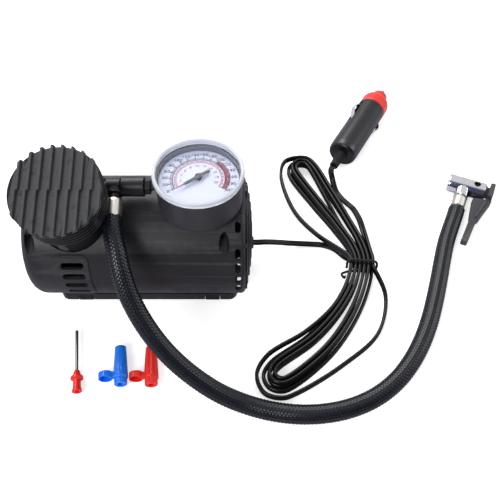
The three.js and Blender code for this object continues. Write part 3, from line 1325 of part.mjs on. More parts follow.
// Plug, lying on the floor with a side contact up; its group's X runs out of the tip.
const plug = new THREE.Group();
plug.position.set(plugRear[0], plugRear[1], plugHeight);
plug.rotation.set(rad(plugRoll), 0, rad(plugTurn), 'ZYX');
inflator.add(plug);
const plugAhead = new THREE.Vector3(Math.cos(rad(plugTurn)), Math.sin(rad(plugTurn)), 0);
const bootTip = new THREE.Vector3(plugRear[0], plugRear[1], plugHeight)
  .addScaledVector(plugAhead, -bootLength - GAP - 0.1);

// A place beside the hank's middle line, at its right, from the tie.
function besideHank(along, side, z) {
  const { middle, ahead } = onHankLine(hankWaist + along);
  return [middle.x + ahead.y * side, middle.y - ahead.x * side, z];
}

const plugLeadPoints = [
  besideHank(13, 7, 8.8), besideHank(26, 9.8, 7.4), besideHank(37, 13.6, 4.8), besideHank(47, 15.8, 2.6),
  [135.2, 56.4, cableFloor], [129.8, 63.2, cableFloor], [125.4, 71, 1.8], [123.2, 78.6, 5.6],
];
const plugLeadStart = waistEnd.clone().addScaledVector(hankAway, GAP + 0.15);
add(inflator, 'plug_lead', cableRun('plug lead', plugLeadStart, hankAway, plugLeadPoints, bootTip, plugAhead,
  [[0, 0], [0.05, 0], [0.5, -90], [1, -90]]), cablePvc);

const contactLength = 20;
const contactFoot = 33;          // of the side contact, from the plug's rear
const contactWidth = 4;
const contactSheet = 0.6;
const contactRise = 2;           // how far the contact stands out of the barrel
const slotStart = 31;
const slotEnd = plugBodyLength - 0.8;
const slotHalf = 2.9;
const fuseRadius = 3.1;
const fuseLength = 25;

function plugBody() {
  const outer = turned([[0, 0], [plugRadius - 3.1, 0], [plugRadius - 2.1, 2.6], [plugRadius - 0.6, 3.4],
    [plugRadius, 8], [plugRadius, plugBodyLength], [0, plugBodyLength]], 'x', [0, 0], 24);
  const inner = bar(plugRadius - plugWall, slotStart - 4, plugBodyLength + CUT, 'x', [0, 0], 20);
  const slots = [1, -1].map((s) => box(slotStart, slotEnd, Math.min(s * 4, s * 14), Math.max(s * 4, s * 14),
    -slotHalf, slotHalf));
  return cut(outer, inner, ...slots);
}
add(plug, 'plug_body', plugBody(), glossBlack);

const boot = turned([[0, -bootLength], [bootTipRadius, -bootLength], [bootTipRadius, -bootLength + 3],
  [bootRadius, -4.5], [bootRadius, -1.6], [bootRadius + 0.9, -GAP], [0, -GAP]], 'x', [0, 0], 16);
add(plug, 'strain_relief', boot, blackRubber);

const collarStart = plugBodyLength + GAP;
const collarEnd = collarStart + collarLength;
const noseEnd = collarEnd + noseLength;
function plugCollar() {
  const shape = turned([[0, collarStart], [plugRadius, collarStart], [plugRadius, collarEnd - 3],
    [plugRadius - 1.2, collarEnd], [noseRadius, collarEnd],
    [noseRadius, noseEnd - 0.8], [noseRadius - 0.8, noseEnd], [0, noseEnd]], 'x', [0, 0], 24);
  const frontWall = collarEnd - 1;
  const hollow = cut(shape, bar(plugRadius - plugWall - 2, collarStart - CUT, frontWall, 'x', [0, 0], 16),
    bar(pinRadius + GAP, frontWall - CUT, noseEnd + CUT, 'x', [0, 0], 12));
  const holder = pipe(fuseRadius + 1.5, fuseRadius + GAP, plugBodyLength - 1.5, frontWall + 0.1,
    'x', [0, 0], 12);
  return join(hollow, holder);
}
add(plug, 'plug_collar', plugCollar(), plugRed);

const pinFlange = 3;
const pinFlangeFace = collarEnd - 1 - GAP;
add(plug, 'plug_tip', join(
  turned([[0, pinFlangeFace - 1.5], [pinRadius, pinFlangeFace - 1.5], [pinRadius, noseEnd + pinOut - 1.2],
    [pinRadius - 0.9, noseEnd + pinOut], [0, noseEnd + pinOut]], 'x', [0, 0], 12),
  bar(pinFlange, pinFlangeFace - 1.5, pinFlangeFace, 'x', [0, 0], 12)), steel);

const fuseTop = pinFlangeFace - 1.5 - pinTravel - 2 * GAP;
add(plug, 'plug_fuse', bar(fuseRadius, fuseTop - fuseLength, fuseTop, 'x', [0, 0], 12), glassFuse);
const springFoot = slotStart - 4 + GAP;
const plugSpring = coilSpring(2.3, 0.35, springFoot + 0.35, fuseTop - fuseLength - GAP - 0.35, 4);
add(plug, 'plug_spring', plugSpring.transform(
  new THREE.Matrix4().makeBasis(axisY, axisZ, axisX).elements), steel);

// A bent strip: a foot inside the barrel, and a bow that stands out through the slot.
function sideContact(side) {
  const inside = plugRadius - plugWall - GAP - contactSheet;
  const top = plugRadius + contactRise;
  const bow = [[contactFoot - 3, inside], [contactFoot + 1, inside], [contactFoot + 7, top - 1.4],
    [contactFoot + 12, top], [contactFoot + 15.5, top - 0.8], [contactFoot + contactLength, inside - 1.5]];
  const upper = bow.map(([x, y]) => [x, y + contactSheet / 2]);
  const lower = bow.map(([x, y]) => [x + 0.1, y - contactSheet / 2]).reverse();
  const strip = plate(outline([...upper, ...lower]), -contactWidth / 2, contactWidth / 2);
  return side > 0 ? strip : spun(strip, 'x', 180);
}
add(plug, 'plug_contact_upper', sideContact(1), chrome);
add(plug, 'plug_contact_lower', sideContact(-1), chrome);

// Wire tie round the hank's waist: a hoop, closed by a twist that curls away.
function tie() {
  const { middle, ahead } = onHankLine(hankWaist);
  const half = waistStep * hankLayerTurns + cableThick / 2 + tieRadius + 1.5 * GAP;
  const low = tieRadius + 0.35;
  const high = hankPoint(0).z + hankLayer + cableWide / 2 + tieRadius + 1.4 * GAP;
  const round = 1.8;
  const at = (side, z, along = 0) => new THREE.Vector3(
    middle.x + ahead.y * side + ahead.x * along, middle.y - ahead.x * side + ahead.y * along, z);
  const hoop = [
    at(-half - 0.2, low + round + 1.4, -0.5), at(-half, high - round), at(-half + round, high),
    at(0, high + 0.2), at(half - round, high), at(half, high - round), at(half, low + round),
    at(half - round, low), at(0, low), at(-half + round, low, -0.8), at(-half - 0.6, low + 0.5, -2.2),
    at(-half - 2.6, 2.2, -3.6), at(-half - 3.2, 3.4, -6), at(-half - 1.6, 2.6, -7.4),
    at(-half - 0.9, 1.4, -5.6)];
  const curve = new THREE.CatmullRomCurve3(hoop, false, 'centripetal');
  const round8 = new THREE.Shape();
  round8.absarc(0, 0, tieRadius, 0, 2 * Math.PI);
  return solid(new THREE.ExtrudeGeometry(round8, {
    steps: 40, bevelEnabled: false, extrudePath: curve, curveSegments: 3,
  }));
}
add(inflator, 'hank_tie', tie(), blackRubber);

// ---------------------------------------------------------------- inflation tips, lying in front

const tips = new THREE.Group();
inflator.add(tips);

// Ball needle: its tube and its hub lie along the group's Y, the hub's open end at the origin.
const needleSpot = { x: -35.2, y: -86, turn: 9 };
const hubRadius = 3.7;
const hubLength = 13.5;
const hubBoss = 2.2;
const needleAxis = [0, hubRadius + 0.05];
const needle = new THREE.Group();
needle.position.set(needleSpot.x, needleSpot.y, 0);
needle.rotation.z = rad(needleSpot.turn);
tips.add(needle);

function needleHub() {
  const shape = turned([[0, 0], [2.9, 0], [2.9, 0.6], [2.3, 3], [hubBoss, 7.4],
    [hubRadius, 7.9], [hubRadius, 9.4], [2.5, 10], [1.6, hubLength], [0, hubLength]], 'y', needleAxis, 16);
  return cut(shape, bar(needleRadius + GAP, hubLength - 4, hubLength + CUT, 'y', needleAxis, 10),
    bar(hubBoss - 0.8, -CUT, 6, 'y', needleAxis, 10));
}
add(needle, 'needle_hub', needleHub(), tipRed);
add(needle, 'needle_tube', cut(
  bar(needleRadius, hubLength - 4 + GAP, hubLength + needleLength, 'y', needleAxis, 10),
  bar(0.45, hubLength + needleLength - 4, hubLength + needleLength + CUT, 'y', needleAxis, 6)), steel);

// A tapered nozzle that lies along Y, its mouth to the back, with a small hood at its left side.
const nozzleLength = 24.2;
const nozzleStep = 4;
const nozzleFootRadius = 3.7;
const nozzleBaseRadius = 4.3;
const nozzleTipRadius = 3.3;
const nozzleBore = 1.9;
const hoodRadius = 4.1;
const hoodWall = 0.7;
const hoodLength = 5;
const hoodStart = 6;
const hoodX = -8.8;
function nozzle() {
  const z = nozzleBaseRadius;
  const body = turned([[0, 0], [nozzleFootRadius, 0], [nozzleFootRadius, nozzleStep],
    [nozzleBaseRadius, nozzleStep + 0.3], [nozzleTipRadius, nozzleLength],
    [0, nozzleLength]], 'y', [0, z], 20);
  const hood = bar(hoodRadius, hoodStart, hoodStart + hoodLength, 'y', [hoodX, hoodRadius], 16);
  const web = box(hoodX + hoodRadius - 0.6, -2, hoodStart + 1.4, hoodStart + hoodLength, 3, 5);
  return cut(join(body, hood, web),
    bar(hoodRadius - hoodWall, hoodStart - CUT, hoodStart + hoodLength + CUT, 'y', [hoodX, hoodRadius], 16),
    bar(nozzleBore, -CUT, nozzleLength + CUT, 'y', [0, z], 10));
}
for (const [name, material, x, y, turn] of [
  ['nozzle_blue', tipBlue, -10.6, -81.7, 6.8], ['nozzle_red', tipRed, 7, -82, 5.1],
]) {
  const spot = new THREE.Group();
  spot.position.set(x, y, 0);
  spot.rotation.z = rad(turn);
  tips.add(spot);
  add(spot, name, nozzle(), material);
}

export default inflator;
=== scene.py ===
"""Dresses a portable tyre inflator: housing, pump, gauge, braided hose, cable hank, plug and tips.

Sizes in the panels are real ones. The makers below work in millimetres, in the same upright or leaning
frames as the solids that they stand for, and every finished piece is in metres with its place in its mesh.
"""

import math

import bmesh
import bpy
import numpy as np
from mathutils import Matrix, Vector


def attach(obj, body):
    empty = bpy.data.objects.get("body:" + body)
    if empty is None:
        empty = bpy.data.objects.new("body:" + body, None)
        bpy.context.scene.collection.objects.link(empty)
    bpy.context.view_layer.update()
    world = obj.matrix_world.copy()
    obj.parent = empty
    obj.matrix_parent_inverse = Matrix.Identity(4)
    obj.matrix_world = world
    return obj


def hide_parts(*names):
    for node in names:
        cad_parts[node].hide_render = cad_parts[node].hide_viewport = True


bl_info = {
    "name": "Tyre inflator",
    "version": (1, 0, 0),
    "blender": (4, 5, 0),
    "location": "3D view > Sidebar > Inflator",
    "description": "Makes the visible pieces of a portable tyre inflator over its packed solids",
    "category": "Object",
}

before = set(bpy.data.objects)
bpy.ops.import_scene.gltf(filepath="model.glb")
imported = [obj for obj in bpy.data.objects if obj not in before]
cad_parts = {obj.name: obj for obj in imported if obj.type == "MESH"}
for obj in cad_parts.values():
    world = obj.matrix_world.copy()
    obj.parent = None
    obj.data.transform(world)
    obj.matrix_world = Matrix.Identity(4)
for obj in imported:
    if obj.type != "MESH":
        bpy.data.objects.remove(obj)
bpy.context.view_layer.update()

rad = math.radians
MM = 0.001
GAP = 0.3      # millimetres between pieces that seat on each other
SMOOTH_ANGLE = rad(32)
WELD = 2e-6    # metres between corners that are one
ROUND = 160    # sides of the barrel, and of what has to follow it
CABLE_WIDE, CABLE_THICK = 4.2, 2.2

# Places in the object's upright millimetres
PUMP_X, PUMP_HEIGHT, PUMP_LEAN = -35.3, 40.5, 20
GAUGE_AT = (36, -3.4)      # X and Y of its middle
CABLE_EXIT = (14.5, 14.0)  # Y and Z of the hole for the cable
PIPE_AT = (-3, 86)         # Y and Z of the air pipe's axis
CHUCK_AT, CHUCK_TURN = (218.6, 69.8, 6.6), -23
PLUG_AT, PLUG_TURN = (130.5, 98.7, 10.8), 61


def standing(place, *turns, unit=MM):
    """From a group's own millimetres to where it stands: its place, then turns of (degrees, axis)."""
    made = Matrix.Scale(unit, 4) @ Matrix.Translation(place)
    for degrees, axis in turns:
        made = made @ Matrix.Rotation(rad(degrees), 4, axis)
    return made


UPRIGHT = standing((0, 0, 0))
PUMP = standing((0, 0, PUMP_HEIGHT), (PUMP_LEAN, "X"))
GAUGE = standing((*GAUGE_AT, 0))
CHUCK = standing(CHUCK_AT, (CHUCK_TURN, "Z"))
PLUG = standing(PLUG_AT, (PLUG_TURN, "Z"), (35, "X"))
NEEDLE = standing((-35.2, -86, 0), (9, "Z"))
BLUE_TIP = standing((-10.6, -81.7, 0), (6.8, "Z"))
RED_TIP = standing((7, -82, 0), (5.1, "Z"))
UPRIGHT_TO_PUMP = Matrix.Rotation(rad(-PUMP_LEAN), 4, "X") @ Matrix.Translation((0, 0, -PUMP_HEIGHT))


# ------------------------------------------------------------------------------------ property groups

def size(name, description, millimetres):
    return bpy.props.FloatProperty(name=name, description=description, default=millimetres * MM,
                                   min=0.0, unit="LENGTH", precision=4)


def count(name, description, number):
    return bpy.props.IntProperty(name=name, description=description, default=number, min=1)


def colour(name, description, red, green, blue):
    return bpy.props.FloatVectorProperty(name=name, description=description, subtype="COLOR", size=3,
                                         default=(red, green, blue), min=0.0, max=1.0)


class HousingSizes(bpy.types.PropertyGroup):
    radius: size("Radius", "Outside of the barrel", 35.5)
    wall: size("Wall", "Thickness of the moulding", 2.2)
    bar_width: size("Grille bar", "Width of the rings in the domed end", 2.2)
    bar_gap: size("Grille gap", "Space between the rings", 3)
    spokes: count("Spokes", "Spokes behind the rings", 6)
    slot_width: size("Slot width", "Of the slots round the barrel", 3.3)
    slot_span: size("Slot length", "Of the slots round the barrel", 6.6)


class PumpSizes(bpy.types.PropertyGroup):
    cover_radius: size("Cover radius", "Of the ribbed head cover", 24.9)
    ridge_pitch: size("Ridge pitch", "From ridge to ridge on the cover", 5.4)
    ridge_width: size("Ridge width", "At the foot of a ridge", 2.4)
    ridge_height: size("Ridge height", "Above the cover", 2)
    fins: count("Fins", "Cooling fins under the cover", 5)
    fin_pitch: size("Fin pitch", "From fin to fin", 3.3)
    fin_radius: size("Fin radius", "Outside of the fins", 23.7)


class GaugeSizes(bpy.types.PropertyGroup):
    lens_radius: size("Lens radius", "Outside of the milky ring", 25)
    dial_radius: size("Dial radius", "Of the printed plate", 21.8)
    scale_radius: size("Scale radius", "Of the printed scale's line", 14.3)
    divisions: count("Divisions", "Spaces on the outer scale", 60)


class HoseSizes(bpy.types.PropertyGroup):
    diameter: size("Diameter", "Over the braid", 11.2)
    lead: size("Braid lead", "Length in which a yarn goes once round", 16)
    yarns: count("Yarns", "Yarns that wind each way", 8)
    yarn_width: size("Yarn width", "Of one flat yarn", 1.75)


class CableSizes(bpy.types.PropertyGroup):
    width: size("Width", "Of the flat two-core cable", CABLE_WIDE)
    thickness: size("Thickness", "Of the flat two-core cable", CABLE_THICK)


class Finishes(bpy.types.PropertyGroup):
    housing: colour("Housing", "Fine-grained moulding of the barrel", 0.016, 0.0165, 0.019)
    casting: colour("Casting", "Paint on the pump's castings", 0.011, 0.0115, 0.0145)
    rubber: colour("Rubber", "Pads, grommet and boot", 0.008, 0.008, 0.009)
    yarn: colour("Yarn", "Braid on the hose", 0.007, 0.008, 0.012)
    dial: colour("Dial", "Plate behind the pointer", 0.60, 0.615, 0.74)
    lever: colour("Lever", "Glass-filled moulding", 0.036, 0.037, 0.042)
    collar: colour("Collar", "Red end of the plug", 0.80, 0.030, 0.022)
    blue_tip: colour("Blue tip", "Tapered nozzle", 0.010, 0.22, 1.0)
    red_tip: colour("Red tip", "Tapered nozzle and needle hub", 0.90, 0.024, 0.014)


GROUPS = {
    "inflator_housing": HousingSizes, "inflator_pump": PumpSizes, "inflator_gauge": GaugeSizes,
    "inflator_hose": HoseSizes, "inflator_cable": CableSizes, "inflator_finishes": Finishes,
}


def in_mm(group, *names):
    """The named lengths of a property group, in millimetres."""
    values = [getattr(group, name) / MM for name in names]
    return values[0] if len(values) == 1 else values


# ------------------------------------------------------------------------------------ node wiring

class Wiring:
    """Adds nodes to a tree. What a socket is given is a number, or another node's output."""

    def __init__(self, tree):
        self.tree = tree

    def feed(self, socket, value):
        if isinstance(value, bpy.types.NodeSocket):
            self.tree.links.new(value, socket)
        else:
            socket.default_value = value

    def fill(self, node, **inputs):
        """Feeds a node's sockets by name, with _ for each space."""
        for name, value in inputs.items():
            self.feed(node.inputs[name.replace("_", " ")], value)
        return node

    def node(self, kind, settings=None, **inputs):
        made = self.tree.nodes.new(kind)
        for name, value in (settings or {}).items():
            setattr(made, name, value)
        return self.fill(made, **inputs)

    def maths(self, operation, *values):
        made = self.node("ShaderNodeMath", {"operation": operation})
        for socket, value in zip(made.inputs, values):
            self.feed(socket, value)
        return made.outputs[0]

    def times(self, a, b):
        return self.maths("MULTIPLY", a, b)

    def over(self, a, b):
        return self.maths("DIVIDE", a, b)

    def plus(self, a, b):
        return self.maths("ADD", a, b)

    def minus(self, a, b):
        return self.maths("SUBTRACT", a, b)

    def times_plus(self, a, b, c):
        return self.maths("MULTIPLY_ADD", a, b, c)

    def vector(self, operation, *values):
        made = self.node("ShaderNodeVectorMath", {"operation": operation})
        sockets = [made.inputs[0], made.inputs[3 if operation == "SCALE" else 1]]
        for socket, value in zip(sockets, values):
            self.feed(socket, value)
        return made.outputs["Vector"]

    def joined(self, **parts):
        return self.node("ShaderNodeCombineXYZ", **parts).outputs[0]

    def parts(self, vector):
        return self.node("ShaderNodeSeparateXYZ", Vector=vector).outputs

    def place(self):
        return self.node("ShaderNodeTexCoord").outputs["Object"]

    def noise(self, place, scale, detail, **inputs):
        return self.node("ShaderNodeTexNoise", Vector=place, Scale=scale, Detail=detail, **inputs).outputs["Fac"]

    def mix(self, share, first, second, blend="MIX"):
        """One colour laid over another by a share."""
        return self.node("ShaderNodeMix", {"data_type": "RGBA", "blend_type": blend}, Factor=share, A=first,
                         B=second).outputs["Result"]

    def bump(self, shader, height, strength, distance):
        raised = self.node("ShaderNodeBump", Strength=strength, Distance=distance, Height=height)
        self.fill(shader, Normal=raised.outputs["Normal"])


def new_group(name, kind, inputs, outputs):
    """A node group with named inputs (name, socket kind, default) and outputs (name, socket kind)."""
    tree = bpy.data.node_groups.new(name, kind)
    for label, socket, default in inputs:
        made = tree.interface.new_socket(label, in_out="INPUT", socket_type="NodeSocket" + socket)
        if default is not None:
            made.default_value = default
    for label, socket in outputs:
        tree.interface.new_socket(label, in_out="OUTPUT", socket_type="NodeSocket" + socket)
    wiring = Wiring(tree)
    return wiring, wiring.node("NodeGroupInput").outputs, wiring.node("NodeGroupOutput").inputs


# ------------------------------------------------------------------------------------ finishes

def grain_group():
    """Spark-eroded or cast grain: a height, and a roughness that varies a little with it."""
    w, given, out = new_group("Moulded grain", "ShaderNodeTree", [
        ("Size", "Float", 0.0008), ("Roughness", "Float", 0.5)], [("Height", "Float"), ("Roughness", "Float")])
    place, scale = w.place(), w.over(1.0, given["Size"])
    fine = w.noise(place, scale, 3.0, Roughness=0.6)
    broad = w.noise(place, w.times(scale, 0.06), 2.0)
    spread, pores = w.times(w.minus(broad, 0.5), 0.25), w.times(w.minus(fine, 0.5), 0.12)
    w.feed(out["Height"], fine)
    w.feed(out["Roughness"], w.plus(given["Roughness"], w.plus(spread, pores)))


def dust_group():
    """A cloudy tone with sparse pale specks, as on a dark moulding that has been handled."""
    w, given, out = new_group("Dust", "ShaderNodeTree", [
        ("Colour", "Color", (0.03, 0.03, 0.03, 1)), ("Speck colour", "Color", (0.35, 0.35, 0.35, 1)),
        ("Spacing", "Float", 0.004), ("Amount", "Float", 0.5)], [("Colour", "Color")])
    place = w.place()
    cells = w.node("ShaderNodeTexVoronoi", {"feature": "F1"}, Vector=place, Scale=w.over(1.0, given["Spacing"]))
    near = w.maths("LESS_THAN", cells.outputs["Distance"], 0.035)
    pick = w.node("ShaderNodeSeparateColor", Color=cells.outputs["Color"]).outputs[0]
    specks = w.times(near, w.maths("LESS_THAN", pick, w.times(given["Amount"], 0.5)))
    tone = w.times_plus(w.noise(place, 35.0, 4.0), 0.8, 0.6)
    grey = w.node("ShaderNodeCombineColor", Red=tone, Green=tone, Blue=tone).outputs[0]
    clouded = w.mix(0.35, given["Colour"], grey, blend="MULTIPLY")
    w.feed(out["Colour"], w.mix(specks, clouded, given["Speck colour"]))


def wear_group():
    """Paler edges where the surface turns sharply outwards: partly wear, partly a painted highlight along the edges.
    """
    w, given, out = new_group("Rubbed edges and highlight", "ShaderNodeTree", [
        ("Colour", "Color", (0.03, 0.03, 0.03, 1)), ("Rubbed colour", "Color", (0.12, 0.12, 0.12, 1)),
        ("Amount", "Float", 0.5)], [("Colour", "Color")])
    turn = w.node("ShaderNodeNewGeometry").outputs["Pointiness"]
    edge = w.node("ShaderNodeMapRange", Value=turn, From_Min=0.52, From_Max=0.60).outputs["Result"]
    rubbed_and_lit = w.times(w.times(edge, given["Amount"]), w.noise(w.place(), 260.0, 3.0))
    w.feed(out["Colour"], w.mix(rubbed_and_lit, given["Colour"], given["Rubbed colour"]))


def polish_group():
    """Fine lines left by turning or polishing, along the piece's X, and faint handling marks."""
    w, given, out = new_group("Polish marks", "ShaderNodeTree", [
        ("Roughness", "Float", 0.1), ("Marks", "Float", 0.05), ("Stretch", "Vector", (0.03, 1.0, 1.0))],
        [("Roughness", "Float"), ("Height", "Float")])
    place = w.place()
    lines = w.noise(w.vector("MULTIPLY", place, given["Stretch"]), 5200.0, 2.0)
    smears = w.noise(place, 140.0, 4.0)
    both = w.plus(w.minus(lines, 0.5), w.minus(smears, 0.5))
    w.feed(out["Roughness"], w.times_plus(both, given["Marks"], given["Roughness"]))
    w.feed(out["Height"], lines)


def group_outputs(wiring, name, **inputs):
    return wiring.node("ShaderNodeGroup", {"node_tree": bpy.data.node_groups[name]}, **inputs).outputs


def new_material(name):
    made = bpy.data.materials.new(name)
    made.use_nodes = True
    shader = next(n for n in made.node_tree.nodes if n.type == "BSDF_PRINCIPLED")
    return made, Wiring(made.node_tree), shader


def rgba(base, by=1.0, add=0.0):
    """A colour with its alpha, made darker or paler by a factor and an amount."""
    return (*(min(c * by + add, 1.0) for c in base), 1.0)


def moulding(name, base, roughness, grain, depth, *, dust=0.0, rub_and_highlight=0.0, coat=0.0, specular=0.5, glow=0.0):
    """A moulded or painted finish: grain (m), its depth (m), specks, and paler edges that are partly wear and partly
    a painted highlight.
    """
    made, w, shader = new_material(name)
    speckled = group_outputs(w, "Dust", Colour=rgba(base), Amount=dust, Speck_colour=rgba(base, 3, 0.12))
    worn_and_lit = group_outputs(w, "Rubbed edges and highlight", Colour=speckled["Colour"], Amount=rub_and_highlight,
                         Rubbed_colour=rgba(base, 1.7, 0.05))
    grained = group_outputs(w, "Moulded grain", Size=grain, Roughness=roughness)
    w.bump(shader, grained["Height"], 0.6, depth)
    w.fill(shader, Base_Color=worn_and_lit["Colour"], Roughness=grained["Roughness"], Coat_Weight=coat,
           Coat_Roughness=0.08, Specular_IOR_Level=specular)
    if glow:  # light that passes through a thin bright moulding
        w.fill(shader, Subsurface_Weight=glow, Subsurface_Scale=0.003,
               Subsurface_Radius=[0.3 + 0.7 * min(c * 1.1, 1) for c in base])
    return made


def metal(name, base, roughness, marks, stretch=(0.03, 1.0, 1.0)):
    made, w, shader = new_material(name)
    polish = group_outputs(w, "Polish marks", Roughness=roughness, Marks=marks, Stretch=stretch)
    w.bump(shader, polish["Height"], 0.25, 0.000004)
    tone = w.mix(w.noise(w.place(), 90.0, 3.0), rgba(base, 0.9), rgba(base, 1.08))
    w.fill(shader, Base_Color=tone, Metallic=1.0, Roughness=polish["Roughness"])
    return made


def clear(name, tint, bend):
    made, w, shader = new_material(name)
    grained = group_outputs(w, "Moulded grain", Size=0.004, Roughness=0.03)
    w.fill(shader, Roughness=w.times(grained["Roughness"], 0.7), Base_Color=rgba(tint), IOR=bend,
           Transmission_Weight=1.0)
    return made


def frosted(name, tint):
    """A milky clear moulding: part of the light goes through, the rest is scattered."""
    made, w, shader = new_material(name)
    grained = group_outputs(w, "Moulded grain", Size=0.003, Roughness=0.2)
    w.fill(shader, Roughness=grained["Roughness"], Base_Color=rgba(tint), IOR=1.3, Transmission_Weight=0.45)
    return made


def woven(name, base):
    """Yarn: fine filaments that lie along the strand, its colour paler where they rise and darker where they sink: a
    painted highlight and painted shade.
    """
    made, w, shader = new_material(name)
    strand = w.parts(w.node("ShaderNodeAttribute", {"attribute_name": "strand"}).outputs["Vector"])
    place = w.joined(X=w.times(strand[0], 120.0), Y=w.times(strand[1], 7.0), Z=strand[2])
    threads = w.noise(place, 1.0, 2.0)
    w.bump(shader, threads, 0.5, 0.00004)
    # the colour follows the filaments' height: paler on their crowns is painted highlight, darker between them
    # painted shade
    w.fill(shader, Base_Color=w.mix(threads, rgba(base, 0.5), rgba(base, 1.7)),
           Roughness=w.times_plus(threads, 0.16, 0.18), Specular_IOR_Level=0.4)
    return made


def printed(name, base):
    """Ink or a printed plate, with a slight mottle."""
    made, w, shader = new_material(name)
    mottle = w.noise(w.place(), 2600.0, 2.0)
    w.fill(shader, Base_Color=w.mix(mottle, rgba(base, 0.93), rgba(base, 1.05)),
           Roughness=w.times_plus(mottle, 0.1, 0.45))
    return made


def copper_winding(name):
    made, w, shader = new_material(name)
    wires = w.node("ShaderNodeTexWave", {"wave_type": "BANDS", "bands_direction": "X"}, Vector=w.place(),
                   Scale=260.0, Distortion=1.2).outputs["Fac"]
    w.bump(shader, wires, 0.5, 0.0001)
    # the colour follows the wires' height: the dark brown in the grooves between them is painted shade
    w.fill(shader, Base_Color=w.mix(wires, (0.12, 0.035, 0.015, 1), (0.72, 0.28, 0.12, 1)), Metallic=1.0,
           Roughness=w.times_plus(wires, -0.1, 0.4))
    return made


def make_finishes(colours):
    for group in (grain_group, dust_group, wear_group, polish_group):
        group()
    bright = {"roughness": 0.30, "grain": 0.003, "depth": 0.00003, "coat": 0.2}
    sleek = {"grain": 0.004, "depth": 0.00002}
    return {
        "housing": moulding("Charcoal moulding", colours.housing, 0.42, 0.0007, 0.00007, dust=0.05, rub_and_highlight=0.5,
                            specular=0.3),
        # on the castings the edges are paled strongly: a painted highlight along the cover's ridges and the fins'
        # edges
        "casting": moulding("Painted casting", colours.casting, 0.42, 0.0009, 0.00010, dust=0.2, rub_and_highlight=2.2,
                            specular=0.12),
        "satin": moulding("Satin black moulding", (0.009, 0.009, 0.011), 0.34, 0.0010, 0.00005, dust=0.05,
                          rub_and_highlight=0.4, specular=0.35),
        "gloss": moulding("Gloss black moulding", (0.005, 0.005, 0.008), 0.31, rub_and_highlight=0.1, specular=0.6, **sleek),
        "case": moulding("Gauge case moulding", (0.030, 0.030, 0.036), 0.33, rub_and_highlight=0.1, **sleek),
        "liner": moulding("Grey liner", (0.14, 0.145, 0.175), 0.30, **sleek),
        "rubber": moulding("Black rubber", colours.rubber, 0.62, 0.0006, 0.00006, dust=0.1, rub_and_highlight=0.2,
                           specular=0.35),
        "hose_core": moulding("Hose rubber", (0.002, 0.002, 0.0025), 0.6, 0.0006, 0.00005, specular=0.2),
        "cable": moulding("Cable sheath", (0.004, 0.004, 0.005), 0.24, 0.003, 0.00002, rub_and_highlight=0.1, specular=0.25),
        "yarn": woven("Braided yarn", colours.yarn),
        "lever": moulding("Glass-filled moulding", colours.lever, 0.48, 0.0005, 0.00007, rub_and_highlight=0.7),
        "collar": moulding("Red moulding", colours.collar, **bright),
        "blue_tip": moulding("Blue moulding", colours.blue_tip, glow=0.45, **bright),
        "red_tip": moulding("Bright red moulding", colours.red_tip, glow=0.45, **bright),
        "nylon": moulding("Natural nylon", (0.72, 0.69, 0.58), 0.42, 0.0008, 0.00004),
        "chrome": metal("Chrome plate", (0.86, 0.87, 0.90), 0.07, 0.05),
        "nickel": metal("Nickel plate", (0.90, 0.86, 0.79), 0.33, 0.10),
        "steel": metal("Turned steel", (0.56, 0.57, 0.58), 0.26, 0.15),
        "dark_steel": metal("Needle steel", (0.30, 0.30, 0.31), 0.28, 0.15, (1.0, 0.03, 1.0)),
        "black_oxide": metal("Black oxide", (0.030, 0.030, 0.033), 0.45, 0.10),
        "zinc": metal("Zinc plate", (0.42, 0.44, 0.46), 0.34, 0.15),
        "brass": metal("Brass", (0.62, 0.42, 0.16), 0.25, 0.12),
        "winding": copper_winding("Copper winding"),
        "magnet": moulding("Sintered magnet", (0.06, 0.06, 0.063), 0.6, 0.0005, 0.00006, rub_and_highlight=0.3),
        "lens": clear("Clear window", (0.97, 0.98, 1.0), 1.12),
        "ring": frosted("Milky ring", (0.78, 0.80, 0.87)),
        "fuse": clear("Fuse glass", (0.93, 0.96, 0.96), 1.45),
        "dial": printed("Dial plate", colours.dial),
        "ink": printed("Black ink", (0.008, 0.009, 0.016)),
        "red_ink": printed("Red ink", (0.29, 0.04, 0.075)),
        "pink_ink": printed("Pink ink", (0.70, 0.50, 0.62)),
        "pointer": printed("Pointer paint", (0.030, 0.036, 0.046)),
    }


finishes = {}


# ------------------------------------------------------------------------------------ mesh makers (mm)

def as_mesh(bm):
    """A new mesh of what was built."""
    mesh = bpy.data.meshes.new("shape")
    bm.to_mesh(mesh)
    bm.free()
    return mesh


def face_out(bm):
    bmesh.ops.recalc_face_normals(bm, faces=bm.faces)
    return bm


def reworked(mesh, work):
    """The mesh after some work on its faces."""
    bm = bmesh.new()
    bm.from_mesh(mesh)
    work(bm)
    bm.to_mesh(mesh)
    bm.free()
    return mesh


def gathered(*meshes):
    """Several meshes as one, their surfaces left apart."""
    bm = bmesh.new()
    for mesh in meshes:
        bm.from_mesh(mesh)
    return as_mesh(bm)


def circle(radius, sides):
    return [(radius * math.cos(2 * math.pi * k / sides), radius * math.sin(2 * math.pi * k / sides))
            for k in range(sides)]


